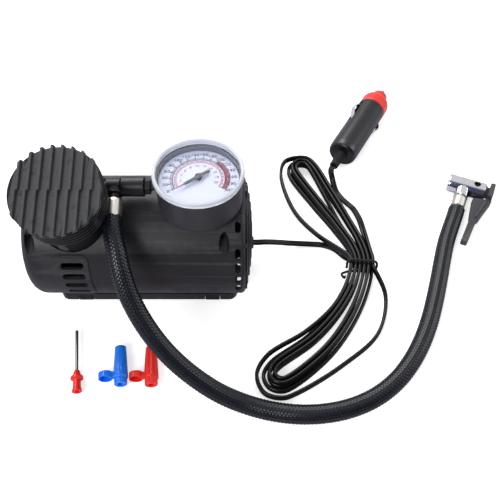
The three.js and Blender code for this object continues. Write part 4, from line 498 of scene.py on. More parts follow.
def lathe(pairs, axis="x", centre=(0.0, 0.0), sides=96):
    """A solid turned about a named axis through a centre, from pairs of (radius, place along the axis)."""
    bm = bmesh.new()
    rows = []
    for radius, along in pairs:
        row = []
        for a, b in circle(radius, sides)[:sides if radius else 1]:
            a, b = a + centre[0], b + centre[1]
            row.append(bm.verts.new({"x": (along, a, b), "y": (a, along, b), "z": (a, b, along)}[axis]))
        rows.append(row)
    if pairs[0][0] or pairs[-1][0]:
        rows.append(rows[0])
    for low, high in zip(rows, rows[1:]):
        for k in range(sides):
            n = (k + 1) % sides
            corners = dict.fromkeys([low[k % len(low)], low[n % len(low)], high[n % len(high)], high[k % len(high)]])
            if len(corners) > 2:
                bm.faces.new(list(corners))
    return as_mesh(face_out(bm))


def rod(radius, start, end, axis="z", centre=(0.0, 0.0), sides=64):
    return lathe([(0, start), (radius, start), (radius, end), (0, end)], axis, centre, sides)


def prism(outline, low, high):
    """An outline in X and Y, made solid from one height to another."""
    bm = bmesh.new()
    foot = [bm.verts.new((x, y, low)) for x, y in outline]
    head = [bm.verts.new((x, y, high)) for x, y in outline]
    bm.faces.new(foot[::-1])
    bm.faces.new(head)
    for k in range(len(outline)):
        n = (k + 1) % len(outline)
        bm.faces.new((foot[k], foot[n], head[n], head[k]))
    return as_mesh(face_out(bm))


def block(x0, x1, y0, y1, z0, z1):
    return prism([(x0, y0), (x1, y0), (x1, y1), (x0, y1)], z0, z1)


def arc(centre_r, centre_along, radius, start, end, steps):
    """Points of an arc between two directions in degrees."""
    ways = [rad(start + (end - start) * i / steps) for i in range(steps + 1)]
    return [(centre_r + radius * math.cos(a), centre_along + radius * math.sin(a)) for a in ways]


def rounded_rect(width, height, corner, steps=6):
    w, h = width / 2 - corner, height / 2 - corner
    return [p for cx, cy, a in ((w, -h, -90), (w, h, 0), (-w, h, 90), (-w, -h, 180))
            for p in arc(cx, cy, corner, a, a + 90, steps)]


def softened(points, radius, steps=4):
    """A profile with each of its inner corners rounded."""
    made = [points[0]]
    for before, at, after in zip(points, points[1:], points[2:]):
        corner = [Vector(p) for p in (before, at, after)]
        back, on = corner[0] - corner[1], corner[2] - corner[1]
        reach = min(radius, back.length * 0.45, on.length * 0.45)
        first, last = corner[1] + back.normalized() * reach, corner[1] + on.normalized() * reach
        for k in range(steps + 1):
            t = k / steps
            made.append(tuple((1 - t) ** 2 * first + 2 * t * (1 - t) * corner[1] + t * t * last))
    return made + [points[-1]]


def shown(name, data):
    """A new object in the scene."""
    made = bpy.data.objects.new(name, data)
    bpy.context.scene.collection.objects.link(made)
    return made


def evaluated(obj):
    """What an object's modifiers make of it, as a plain mesh."""
    bpy.context.view_layer.update()
    graph = bpy.context.evaluated_depsgraph_get()
    return bpy.data.meshes.new_from_object(obj.evaluated_get(graph))


def taken(obj):
    """What its modifiers make of an object that isn't needed after that."""
    mesh = evaluated(obj)
    bpy.data.objects.remove(obj)
    return mesh


def worked(operation, base, tools):
    """A closed mesh cut by, joined to or kept within others, one after another."""
    obj = shown("base", base)
    others = [shown("tool", tool) for tool in tools]
    for tool in others:
        step = obj.modifiers.new("step", "BOOLEAN")
        step.operation, step.object, step.solver = operation, tool, "MANIFOLD"
    mesh = evaluated(obj)
    for used in (obj, *others):
        data = used.data
        bpy.data.objects.remove(used)
        bpy.data.meshes.remove(data)
    return mesh


def cut(base, *tools):
    return worked("DIFFERENCE", base, tools)


def join(base, *others):
    return worked("UNION", base, others)


def within(base, *limits):
    return worked("INTERSECT", base, limits)


def put(mesh, place):
    mesh.transform(place)
    return mesh


def turned_about(mesh, axis, degrees):
    return put(mesh, Matrix.Rotation(rad(degrees), 4, axis))


def moved(mesh, x=0.0, y=0.0, z=0.0):
    return put(mesh, Matrix.Translation((x, y, z)))


def pointed(mesh, root, ahead):
    """A mesh that stands on the Z axis, moved to a root and aimed ahead."""
    return put(mesh, Matrix.Translation(root) @ ahead.to_track_quat("Z", "Y").to_matrix().to_4x4())


def repeated(mesh, tree, **inputs):
    """The mesh that a geometry tree makes of a piece, with its named inputs."""
    obj = shown("piece", mesh)
    modifier = obj.modifiers.new("repeat", "NODES")
    modifier.node_group = tree
    for item in tree.interface.items_tree:
        name = item.name.replace(" ", "_")
        if item.in_out == "INPUT" and name in inputs:
            modifier[item.identifier] = inputs[name]
    return taken(obj)


def new_tree(name, *inputs):
    """A geometry tree, with its own inputs between those for the geometry and for the material."""
    return new_group(name, "GeometryNodeTree", [
        ("Geometry", "Geometry", None), *inputs, ("Material", "Material", None)], [("Geometry", "Geometry")])


def made_real(w, given, out, geometry):
    """Ends a geometry tree: what it made is realized, in the given material."""
    real = w.node("GeometryNodeRealizeInstances", Geometry=geometry)
    done = w.node("GeometryNodeSetMaterial", Geometry=real.outputs[0], Material=given["Material"])
    w.feed(out["Geometry"], done.outputs[0])
    return w.tree


def row_tree():
    """Copies of a piece in a straight row."""
    w, given, out = new_tree("Row of copies", ("Count", "Int", 5), ("First", "Vector", (0, 0, 0)),
                             ("Step", "Vector", (0, 0, 1)))
    line = w.node("GeometryNodeMeshLine", {"mode": "OFFSET"}, Count=given["Count"],
                  Start_Location=given["First"], Offset=given["Step"])
    copies = w.node("GeometryNodeInstanceOnPoints", Points=line.outputs[0], Instance=given["Geometry"])
    return made_real(w, given, out, copies.outputs[0])


def wheel_tree():
    """Copies of a piece turned about the X axis, evenly all the way round."""
    w, given, out = new_tree("Copies round an axis", ("Count", "Int", 6), ("Start", "Float", 0.0))
    points = w.node("GeometryNodePoints", Count=given["Count"])
    step = w.over(2 * math.pi, given["Count"])
    turn = w.times_plus(w.node("GeometryNodeInputIndex").outputs[0], step, given["Start"])
    copies = w.node("GeometryNodeInstanceOnPoints", Points=points.outputs[0], Instance=given["Geometry"],
                    Rotation=w.joined(X=turn))
    return made_real(w, given, out, copies.outputs[0])


def scale_tree():
    """The strokes of a dial's scale, clockwise from its first stroke, with every so many longer."""
    w, given, out = new_tree(
        "Dial strokes", ("Divisions", "Int", 60), ("Every", "Int", 4), ("Radius", "Float", 14.5),
        ("Length", "Float", 1.0), ("Long", "Float", 1.8), ("Width", "Float", 0.16), ("Height", "Float", 91.45),
        ("First", "Float", rad(220)), ("Span", "Float", rad(260)))
    index = w.node("GeometryNodeInputIndex").outputs[0]
    points = w.node("GeometryNodePoints", Count=w.plus(given["Divisions"], 1.0))
    angle = w.minus(given["First"], w.times(w.over(index, given["Divisions"]), given["Span"]))
    is_long = w.maths("LESS_THAN", w.maths("MODULO", index, given["Every"]), 0.5)
    length = w.times_plus(is_long, w.minus(given["Long"], given["Length"]), given["Length"])
    width = w.times(given["Width"], w.times_plus(is_long, 0.6, 1.0))
    middle = w.times_plus(length, 0.5, given["Radius"])
    place = w.joined(X=w.times(w.maths("COSINE", angle), middle), Y=w.times(w.maths("SINE", angle), middle),
                     Z=given["Height"])
    spread = w.node("GeometryNodeSetPosition", Geometry=points.outputs[0], Position=place)
    copies = w.node("GeometryNodeInstanceOnPoints", Points=spread.outputs[0], Instance=given["Geometry"],
                    Rotation=w.joined(Z=angle), Scale=w.joined(X=length, Y=width, Z=1.0))
    return made_real(w, given, out, copies.outputs[0])


def braid_tree():
    """Flat yarns wound both ways round a path, each over one and under the next of those that cross it."""
    w, given, out = new_tree(
        "Braid on a path", ("Yarns", "Int", 8), ("Steps", "Int", 750), ("Lead", "Float", 0.016),
        ("Radius", "Float", 0.0053), ("Lift", "Float", 0.0002), ("Width", "Float", 0.0017),
        ("Thickness", "Float", 0.0003))
    path = w.node("GeometryNodeMeshToCurve", Mesh=given["Geometry"]).outputs[0]
    length = w.node("GeometryNodeCurveLength", Curve=path).outputs[0]
    # one straight line for each yarn of both ways: a grid's lines along X, without its rungs
    strands = w.times(given["Yarns"], 2.0)
    grid = w.node("GeometryNodeMeshGrid", Size_X=1.0, Size_Y=1.0, Vertices_X=given["Steps"],
                  Vertices_Y=strands).outputs[0]
    ends = w.node("GeometryNodeInputMeshEdgeVertices").outputs
    across = w.parts(w.vector("SUBTRACT", ends["Position 1"], ends["Position 2"]))[1]
    rungs = w.maths("GREATER_THAN", w.maths("ABSOLUTE", across), 1e-4)
    lines = w.node("GeometryNodeDeleteGeometry", {"domain": "EDGE", "mode": "EDGE_FACE"}, Geometry=grid,
                   Selection=rungs).outputs[0]
    curves = w.node("GeometryNodeMeshToCurve", Mesh=lines).outputs[0]
    # how far along the path a point is, which yarn it is on, and which way that one winds
    place = w.parts(w.node("GeometryNodeInputPosition").outputs[0])
    share = w.plus(place[0], 0.5)
    number = w.maths("ROUND", w.times(w.plus(place[1], 0.5), w.minus(strands, 1.0)))
    way = w.minus(1.0, w.times(w.maths("MODULO", number, 2.0), 2.0))
    first = w.times(w.maths("FLOOR", w.over(number, 2.0)), w.over(2 * math.pi, given["Yarns"]))
    far = w.times(share, length)
    turn = w.times(w.over(far, given["Lead"]), 2 * math.pi)
    angle = w.times_plus(way, turn, first)
    wave = w.times(way, w.maths("COSINE", w.times(turn, given["Yarns"])))
    reach = w.times_plus(wave, given["Lift"], given["Radius"])
    sample = w.node("GeometryNodeSampleCurve", {"mode": "FACTOR"}, Curves=path, Factor=share).outputs
    beside = w.vector("CROSS_PRODUCT", sample["Tangent"], sample["Normal"])
    outwards = w.vector("ADD", w.vector("SCALE", sample["Normal"], w.maths("COSINE", angle)),
                        w.vector("SCALE", beside, w.maths("SINE", angle)))
    spot = w.vector("ADD", sample["Position"], w.vector("SCALE", outwards, reach))
    marked = w.node("GeometryNodeStoreNamedAttribute", {"data_type": "FLOAT_VECTOR", "domain": "POINT"},
                    Geometry=curves, Name="strand", Value=w.joined(X=far, Z=number))
    facing = w.node("GeometryNodeSetCurveNormal", {"mode": "FREE"}, Curve=marked.outputs[0], Normal=outwards)
    wound = w.node("GeometryNodeSetPosition", Geometry=facing.outputs[0], Position=spot)
    ring = w.node("GeometryNodeCurvePrimitiveCircle", Resolution=6, Radius=1.0).outputs[0]
    half = w.joined(X=w.times(given["Thickness"], 0.5), Y=w.times(given["Width"], 0.5), Z=1.0)
    section = w.node("GeometryNodeTransform", Geometry=ring, Scale=half)
    tape = w.node("GeometryNodeCurveToMesh", Curve=wound.outputs[0], Profile_Curve=section.outputs[0],
                  Fill_Caps=True)
    return made_real(w, given, out, tape.outputs[0])


# ------------------------------------------------------------------------------------ finishing a piece

def plain_copy(node):
    """A CAD node's mesh with its triangles joined up, in metres."""
    bm = bmesh.new()
    bm.from_mesh(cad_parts[node].data)
    bmesh.ops.remove_doubles(bm, verts=bm.verts, dist=WELD)
    bmesh.ops.dissolve_limit(bm, angle_limit=rad(0.6), verts=bm.verts, edges=bm.edges)
    return as_mesh(bm)


def merged_flats(mesh):
    """The mesh with the triangles of each flat face made one, so that it shades evenly."""
    return reworked(mesh, lambda bm: bmesh.ops.dissolve_limit(
        bm, angle_limit=rad(0.4), verts=bm.verts, edges=bm.edges))


def eased(mesh, radius):
    """The mesh with its edges rounded by a radius in its own units."""
    obj = shown("piece", mesh)
    ease = obj.modifiers.new("ease", "BEVEL")
    ease.width, ease.segments, ease.use_clamp_overlap = radius, 2, True
    ease.limit_method, ease.angle_limit = "ANGLE", rad(35)
    return taken(obj)


def finished(name, mesh, finish, nodes, place=UPRIGHT, body="housing", ease=0.0, smooth=SMOOTH_ANGLE):
    """Sets a mesh in place, gives it its finish, and has it stand for its CAD nodes on their body."""
    mesh.transform(place)
    if ease:
        mesh = eased(mesh, ease * MM)
    for polygon in mesh.polygons:
        polygon.use_smooth = True
    mesh.set_sharp_from_angle(angle=smooth)
    mesh.name = name
    if finish:
        mesh.materials.clear()
        mesh.materials.append(finishes[finish])
    obj = shown(name, mesh)
    even = obj.modifiers.new("even", "WEIGHTED_NORMAL")
    even.keep_sharp = True
    obj.data = evaluated(obj)
    obj.data.name = name
    obj.modifiers.clear()
    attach(obj, body)
    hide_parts(*nodes)
    return obj


def from_node(node, finish, body="housing", ease=0.0):
    """A piece in the shape of its CAD node, with eased edges."""
    return finished(node + "_piece", plain_copy(node), finish, [node], Matrix.Identity(4), body, ease)


def repaint(node, finish):
    """Gives a CAD node that stays a better finish."""
    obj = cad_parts[node]
    obj.data.materials.clear()
    obj.data.materials.append(finishes[finish])


# ------------------------------------------------------------------------------------ routes (mm)

def curved(points, per_span=16):
    """A centripetal Catmull-Rom line through points."""
    p = [np.array(q, float) for q in points]
    p = [2 * p[0] - p[1], *p, 2 * p[-1] - p[-2]]
    share = np.linspace(0, 1, per_span, endpoint=False)[:, None]
    made = []
    for a, b, c, d in zip(p, p[1:], p[2:], p[3:]):
        ab, bc, cd = (max(np.linalg.norm(v), 1e-9) ** 0.5 for v in (b - a, c - b, d - c))
        leave = ((b - a) / ab - (c - a) / (ab + bc) + (c - b) / bc) * bc
        arrive = ((c - b) / bc - (d - b) / (bc + cd) + (d - c) / cd) * bc
        made.append((2 * b - 2 * c + leave + arrive) * share ** 3
                    + (3 * c - 3 * b - 2 * leave - arrive) * share ** 2 + leave * share + b)
    return np.vstack([*made, p[-2][None]])


def distances(line):
    return np.concatenate([[0], np.cumsum(np.linalg.norm(np.diff(line, axis=0), axis=1))])


def evenly(line, step):
    """The line's points moved along it to be a step apart."""
    far = distances(line)
    at = np.linspace(0, far[-1], max(int(round(far[-1] / step)), 2) + 1)
    return np.column_stack([np.interp(at, far, line[:, k]) for k in range(3)])


def sweep(line, section, rolls=None):
    """A section (side, up) carried along a line of points, capped; a roll (radians) leans its up side over."""
    line = np.asarray(line, float)
    ahead = np.gradient(line, axis=0)
    ahead /= np.linalg.norm(ahead, axis=1)[:, None]
    side = np.cross(ahead, (0, 0, 1))
    side /= np.linalg.norm(side, axis=1)[:, None]
    up = np.cross(side, ahead)
    roll = np.zeros(len(line)) if rolls is None else np.asarray(rolls, float)
    rings = [line + side * (s * np.cos(roll) - u * np.sin(roll))[:, None]
             + up * (s * np.sin(roll) + u * np.cos(roll))[:, None] for s, u in section]
    n, m = len(section), len(line)
    verts = np.stack(rings, axis=1).reshape(-1, 3)
    faces = [(i * n + k, i * n + (k + 1) % n, (i + 1) * n + (k + 1) % n, (i + 1) * n + k)
             for i in range(m - 1) for k in range(n)]
    faces += [tuple(range(n))[::-1], tuple((m - 1) * n + k for k in range(n))]
    mesh = bpy.data.meshes.new("sweep")
    mesh.from_pydata(verts.tolist(), [], faces)
    return reworked(mesh, face_out)


BRANCH_ROOT = Vector((-10, *PIPE_AT))
BRANCH_DROP = rad(16)
BRANCH_AHEAD = Vector((0, -math.cos(BRANCH_DROP), -math.sin(BRANCH_DROP)))
TO_CHUCK = standing(CHUCK_AT, (CHUCK_TURN, "Z"), unit=1)
PORT_FACE = TO_CHUCK @ Vector((-2.8, -7.7, 0))
PORT_AHEAD = (TO_CHUCK.to_3x3() @ Vector((0, -1, 0))).normalized()
HOSE_FALL = [
    (-9.3, -29.5, 78.4), (-7.2, -38.2, 74.4), (-5.2, -46.2, 68.8), (-2.4, -53.4, 61.8), (1.6, -60.2, 54.2),
    (7.2, -67.2, 46.2), (14.4, -74.2, 38), (23.4, -80.6, 29.4), (34.4, -86.4, 20.8), (47.4, -91.6, 13),
    (62, -95.6, 7.6),
]
HOSE_LIES = [  # X and Y of its middle line on the floor
    (76.5, -98.8), (92, -100.6), (107, -99.8), (121.5, -96.4), (135, -90.2), (147.4, -80.8), (157.6, -69),
    (166.2, -55.4), (173.4, -40.4), (179.4, -24.6), (184.8, -8.6), (189.8, 7), (195, 22),
]
HOSE_HEIGHT = 5.7
HOSE_FROM_BRANCH, HOSE_FROM_PORT = 19.0, 15.3  # where its ends are, inside their ferrules


def hose_line():
    start = BRANCH_ROOT + BRANCH_AHEAD * HOSE_FROM_BRANCH
    end = PORT_FACE + PORT_AHEAD * HOSE_FROM_PORT
    lies = [(x, y, HOSE_HEIGHT) for x, y in HOSE_LIES]
    return evenly(curved([start, start + BRANCH_AHEAD * 2, *HOSE_FALL, *lies, end + PORT_AHEAD * 8, end]), 1.0)


# The cable's hank: turns side by side in two layers, folded at both ends of a curved middle line
HANK_LINE = [
    (67.3, -92), (76.1, -81.1), (88, -70.1), (102.4, -58.9), (114.6, -45.4), (123.4, -31.8), (130.8, -17.4),
    (136, 1.1), (134.2, 17.1), (128.1, 32.5), (120.1, 50.2), (111.4, 67.7), (103.9, 83.8), (97.1, 100.8),
]
HANK_WAIST = 118.0  # where the tie is, along that line
HANK_TURNS, LAYER_TURNS = 5.5, 2.5
WAIST_STEP, FOLD_STEP = 2.72, 2.85  # from turn to turn, at the tie and in the folds
TOP_RADIUS, BOTTOM_RADIUS = 12.2, 10.8  # of the outer turn's folds
FOLD_REACH, FOLD_STRETCH = 95.0, 1.1
FOLD_SHARE = 1 / 3  # of half a turn, before a fold and after it
CLIMB_SWING = 1.85  # how far the cable swings aside where it climbs to the second layer
SWING_OUT, SWING_BACK, CLIMB_UP = (0.06, 0.34), (0.42, 0.55), (0.42, 0.5)  # start and length, of that run
LAYER_HEIGHT = CABLE_WIDE + 0.7
TIE_RADIUS = 0.8
WAIST_LIFT, LIFT_LENGTH = TIE_RADIUS * 2 + 0.7, 14  # room for the tie under the turns
RUN_EASE = 1.3
STEPS_PER_LOOP = 24
STRAY = [  # turns made, then how far the cable strays outwards and down
    (4.75, 0, 0), (4.792, 3.4, 0), (4.833, 6.7, 1.6), (4.875, 12.8, 4.6), (4.917, 11.2, 3), (4.958, 4.4, 1),
    (4.979, 0.8, 0), (5, 0, 0), (5.083, 0, 0), (5.125, 2, 0), (5.167, 3.5, 0), (5.208, 3.8, 2.4),
    (5.25, 4, LAYER_HEIGHT), (5.333, 4, LAYER_HEIGHT), (5.375, 8.4, LAYER_HEIGHT),
    (5.417, 15.4, LAYER_HEIGHT), (5.458, 11.5, 3.6), (5.479, 3.8, 0.3), (5.49, 0.6, 0), (5.5, 0, 0),
]
STRAY_EXTRA = (4.979, 5.479, 5.49)  # of these, the ones that are needed besides the even steps


def smoothstep(t):
    """Goes from 0 to 1 as t does, level at both ends."""
    t = min(max(t, 0.0), 1.0)
    return t * t * (3 - 2 * t)


def during(share, start, length):
    return smoothstep((share - start) / length)


class Hank:
    """Where the folded cable runs, by how many turns it has made."""

    def __init__(self):
        self.line = curved([(x, y, 0) for x, y in HANK_LINE], 64)
        self.far = distances(self.line)

    def beside(self, distance):
        """A place on the middle line, and the way ahead there; the line runs on straight past its ends."""
        at = min(max(distance, 0.0), self.far[-1])
        here = np.array([np.interp(at, self.far, self.line[:, k]) for k in range(3)])
        back, on = (np.array([np.interp(at + d, self.far, self.line[:, k]) for k in range(3)])
                    for d in (-0.5, 0.5))
        ahead = (on - back) / np.linalg.norm(on - back)
        return here + ahead * (distance - at), ahead

    @staticmethod
    def depth(turn):
        return turn if turn <= LAYER_TURNS else HANK_TURNS - turn

    def waist(self, number):
        return WAIST_STEP * (0.5 + math.floor(LAYER_TURNS - self.depth(number / 2) + 0.001))

    @staticmethod
    def stray(turn):
        after = next((i for i, knot in enumerate(STRAY) if knot[0] > turn), -1)
        if after < 1:
            return 0.0, 0.0
        (t0, out0, drop0), (t1, out1, drop1) = STRAY[after - 1], STRAY[after]
        share = (turn - t0) / (t1 - t0)
        return out0 + (out1 - out0) * share, drop0 + (drop1 - drop0) * share

    def point(self, turn):
        number = math.floor(turn * 2 + 1e-6)
        part = turn * 2 - number
        upper = number % 2 == 1
        out, drop = self.stray(turn)
        radius = (TOP_RADIUS if upper else BOTTOM_RADIUS) - FOLD_STEP * self.depth(turn)
        leaving = part < 0.5
        run = ((part if leaving else 1 - part) / FOLD_SHARE) ** RUN_EASE
        climb = min(run, 1) if number == 2 * LAYER_TURNS and leaving else 1
        if run < 1:
            at_waist = self.waist(number if leaving else number + 1)
            side = at_waist + (radius - at_waist) * smoothstep(run) + out
            side *= 1 if leaving else -1
            along = FOLD_REACH * run
        else:
            angle = math.pi * (part - FOLD_SHARE) / (1 - 2 * FOLD_SHARE)
            side = (radius + out) * math.cos(angle)
            along = FOLD_REACH + (radius + out) * FOLD_STRETCH * math.sin(angle)
        if climb < 1:
            side -= CLIMB_SWING * during(climb, *SWING_OUT) * (1 - during(climb, *SWING_BACK))
        if not upper:
            side, along = -side, -along
        climbed = 0.0 if turn < LAYER_TURNS else during(climb, *CLIMB_UP)
        lift = WAIST_LIFT * math.exp(-((along / LIFT_LENGTH) ** 2))
        return self.at_side(along, side, CABLE_WIDE / 2 + 0.2 + LAYER_HEIGHT * climbed + lift - drop)

    def knots(self):
        turns = sorted([i / STEPS_PER_LOOP for i in range(int(HANK_TURNS * STEPS_PER_LOOP) + 1)]
                       + list(STRAY_EXTRA))
        return [self.point(t) for t in turns]

    def at_side(self, along, side, height):
        middle, ahead = self.beside(HANK_WAIST + along)
        return np.array([middle[0] + ahead[1] * side, middle[1] - ahead[0] * side, height])


def rolled(line, rolls):
    """The roll (radians) at each point of a line, from its values (degrees) at shares of the length."""
    far = distances(line)
    made = []
    for share in far / far[-1]:
        after = next((i for i, (at, _) in enumerate(rolls) if at > share), len(rolls) - 1)
        (s0, a), (s1, b) = rolls[after - 1], rolls[after]
        made.append(rad(a + (b - a) * during(share, s0, s1 - s0)))
    return made


def cable_line(hank):
    """The whole cable from the grommet through the hank to the plug, and its rolls."""
    floor = CABLE_THICK / 2 + 0.1
    start = np.array([56, *CABLE_EXIT])
    waist_start, waist_end = hank.point(0), hank.point(HANK_TURNS)
    enter = hank.point(0.004) - waist_start
    enter /= np.linalg.norm(enter)
    leave = hank.beside(HANK_WAIST)[1]
    plug_ahead = np.array([math.cos(rad(PLUG_TURN)), math.sin(rad(PLUG_TURN)), 0])
    boot = np.array(PLUG_AT) - 13.4 * plug_ahead  # the boot's rear end
    lead_end = waist_start - 0.5 * enter
    lead = curved([
        start, start + (CABLE_WIDE, 0, 0),
        (68, 14.6, 13.9), (74.5, 16.4, 12), (81.5, 18.8, 8.6), (89, 21, 5), (97, 22.4, 2.6),
        (105, 23, floor), (112.5, 22.2, floor), (119, 19.6, floor), (123.2, 15.8, 1.6), (125.9, 11.4, 3.1),
        lead_end - enter * CABLE_WIDE, lead_end])
    plug_start = waist_end + leave * 0.45
    tail = curved([
        plug_start, plug_start + leave * CABLE_WIDE,
        hank.at_side(13, 7, 8.8), hank.at_side(26, 9.8, 7.4), hank.at_side(37, 13.6, 4.8),
        hank.at_side(47, 15.8, 2.6), (135.2, 56.4, floor), (129.8, 63.2, floor), (125.4, 71, 1.8),
        (123.2, 78.6, 5.6), boot - plug_ahead * CABLE_WIDE, boot, boot + plug_ahead * 4])
    lead, tail = evenly(lead, 1.5), evenly(tail, 1.5)
    wound = evenly(curved(hank.knots(), 12), 1.5)
    # flat in the hank, on edge at the grommet and at the plug
    rolls = [*rolled(lead, [(0, 90), (0.78, 90), (0.96, 0), (1, 0)]), *([0.0] * len(wound)),
             *rolled(tail, [(0, 0), (0.05, 0), (0.5, -90), (1, -90)])]
    return np.vstack([lead, wound, tail]), rolls


# ------------------------------------------------------------------------------------ operators

class InflatorPiece(bpy.types.Operator):
    """Base of the operators that make the pieces"""
    bl_options = {"REGISTER", "UNDO"}

    def execute(self, context):
        self.make(context.scene)
        return {"FINISHED"}


class MakeStage(InflatorPiece):
    """Makes the floor, the lamps and the camera"""
    bl_idname = "inflator.stage"
    bl_label = "Stage"

    def make(self, scene):
        scene.view_settings.view_transform = "Standard"
        camera = bpy.data.cameras.new("view")
        focal, across, sensor = 661, 500, 36.0  # the first two in the photograph's pixels
        camera.sensor_width, camera.lens = sensor, focal / across * sensor
        eye = shown("view", camera)
        eye.location = (0.06375, -0.2517, 0.3527)
        eye.rotation_euler = (rad(37.5), 0, 0)
        scene.camera = eye
        floor = shown("floor", block(-3, 3, -3, 3, -0.002, 0.0))
        floor.data.materials.append(self.floor_finish())
        for name, place, aim, wide, deep, watts in (
                ("overhead", (-0.25, 0.65, 0.85), (0.05, 0, 0.03), 0.9, 0.7, 10.0),
                ("front", (-0.50, -0.85, 0.80), (0.05, 0, 0.04), 0.45, 0.6, 8.5),
                ("right", (0.95, 0.1, 0.45), (0.05, 0, 0.04), 0.3, 0.5, 1.6)):
            lamp = bpy.data.lights.new(name, "AREA")
            lamp.shape, lamp.size, lamp.size_y, lamp.energy = "RECTANGLE", wide, deep, watts
            lit = shown(name, lamp)
            lit.location = place
            lit.rotation_euler = (Vector(aim) - Vector(place)).to_track_quat("-Z", "Y").to_euler()
        self.surroundings(scene)

    @staticmethod
    def floor_finish():
        """White to the camera, and darker in what the glossy pieces mirror."""
        made, w, shader = new_material("White sweep")
        path = w.node("ShaderNodeLightPath").outputs
        glossy = path["Is Glossy Ray"]
        seen = w.maths("MAXIMUM", path["Is Camera Ray"],
                       w.maths("MAXIMUM", w.times(glossy, 0.15), path["Is Transmission Ray"]))
        w.fill(shader, Base_Color=w.mix(glossy, (0.88, 0.88, 0.88, 1), (0.42, 0.41, 0.50, 1)), Roughness=0.9,
               Specular_IOR_Level=0.1, Emission_Color=(1, 1, 1, 1), Emission_Strength=w.times(seen, 0.6))
        return made

    @staticmethod
    def surroundings(scene):
        """A white room whose near side is dim and blue in mirrors."""
        world = bpy.data.worlds.new("Studio")
        world.use_nodes = True
        scene.world = world
        w = Wiring(world.node_tree)
        back = next(n for n in world.node_tree.nodes if n.type == "BACKGROUND")
        path = w.node("ShaderNodeLightPath").outputs
        glossy = path["Is Glossy Ray"]
        seen = w.maths("MAXIMUM", path["Is Camera Ray"], path["Is Transmission Ray"])
        way = w.parts(w.node("ShaderNodeTexCoord").outputs["Generated"])
        far = w.node("ShaderNodeMapRange", {"interpolation_type": "SMOOTHSTEP"}, Value=way[1],
                     From_Min=-0.60, From_Max=-0.10).outputs["Result"]
        mirrored = w.times(glossy, w.times_plus(far, 0.55, 0.13))
        plain = w.times(w.minus(1.0, glossy), 0.42)
        tone = w.mix(w.times(glossy, w.minus(1.0, far)), (1, 1, 1, 1), (0.35, 0.42, 0.75, 1))
        w.fill(back, Color=tone, Strength=w.maths("MAXIMUM", seen, w.plus(mirrored, plain)))


class MakeHose(InflatorPiece):
    """Makes the braided hose and its two ferrules"""
    bl_idname = "inflator.hose"
    bl_label = "Hose"

    def make(self, scene):
        sizes = scene.inflator_hose
        line = hose_line()
        outer = sizes.diameter / 2
        core = put(sweep(line, circle(outer / MM - 0.95, 32)), UPRIGHT)
        path = bpy.data.meshes.new("path")
        path.from_pydata((line * MM).tolist(), [(i, i + 1) for i in range(len(line) - 1)], [])
        length = float(distances(line)[-1] * MM)
        waves = round(length / sizes.lead * sizes.yarns)
        thickness, lift = 0.00044, 0.00030
        braid = repeated(path, braid_tree(), Yarns=sizes.yarns, Steps=waves * 4 + 1,
                         Lead=length * sizes.yarns / waves, Radius=outer - lift - thickness / 2, Lift=lift,
                         Width=sizes.yarn_width, Thickness=thickness, Material=finishes["yarn"])
        mesh = gathered(core, reworked(braid, face_out))
        for face in mesh.polygons[len(core.polygons):]:
            face.material_index = 1
        for finish in ("hose_core", "yarn"):
            mesh.materials.append(finishes[finish])
        hose = finished("hose_braided", mesh, None, ["air_hose"], Matrix.Identity(4), smooth=rad(75))
        ferrules = [
            finished("ferrule_pump", self.ferrule(14.0, BRANCH_ROOT + BRANCH_AHEAD * 7.6, BRANCH_AHEAD),
                     "nickel", ["hose_ferrule_pump"]),
            finished("ferrule_chuck", self.ferrule(12.0, PORT_FACE + PORT_AHEAD * 4.2, PORT_AHEAD), "nickel",
                     ["hose_ferrule_chuck"])]

    @staticmethod
    def ferrule(length, root, ahead):
        """A plain sleeve with a rounded shoulder and a flared lip, open at the hose's end."""
        r, lip = 4.7, 0.5
        profile = softened([(0, 0), (r - 1.6, 0), (r - 0.2, 1.0), (r, 2.6), (r, length - 1.3),
                            (r + lip, length - 0.5), (r + lip, length), (r - 0.5, length),
                            (r - 0.6, length - 1.2), (0, length - 1.2)], 0.6)
        return pointed(lathe(profile, "z", sides=64), root, ahead)


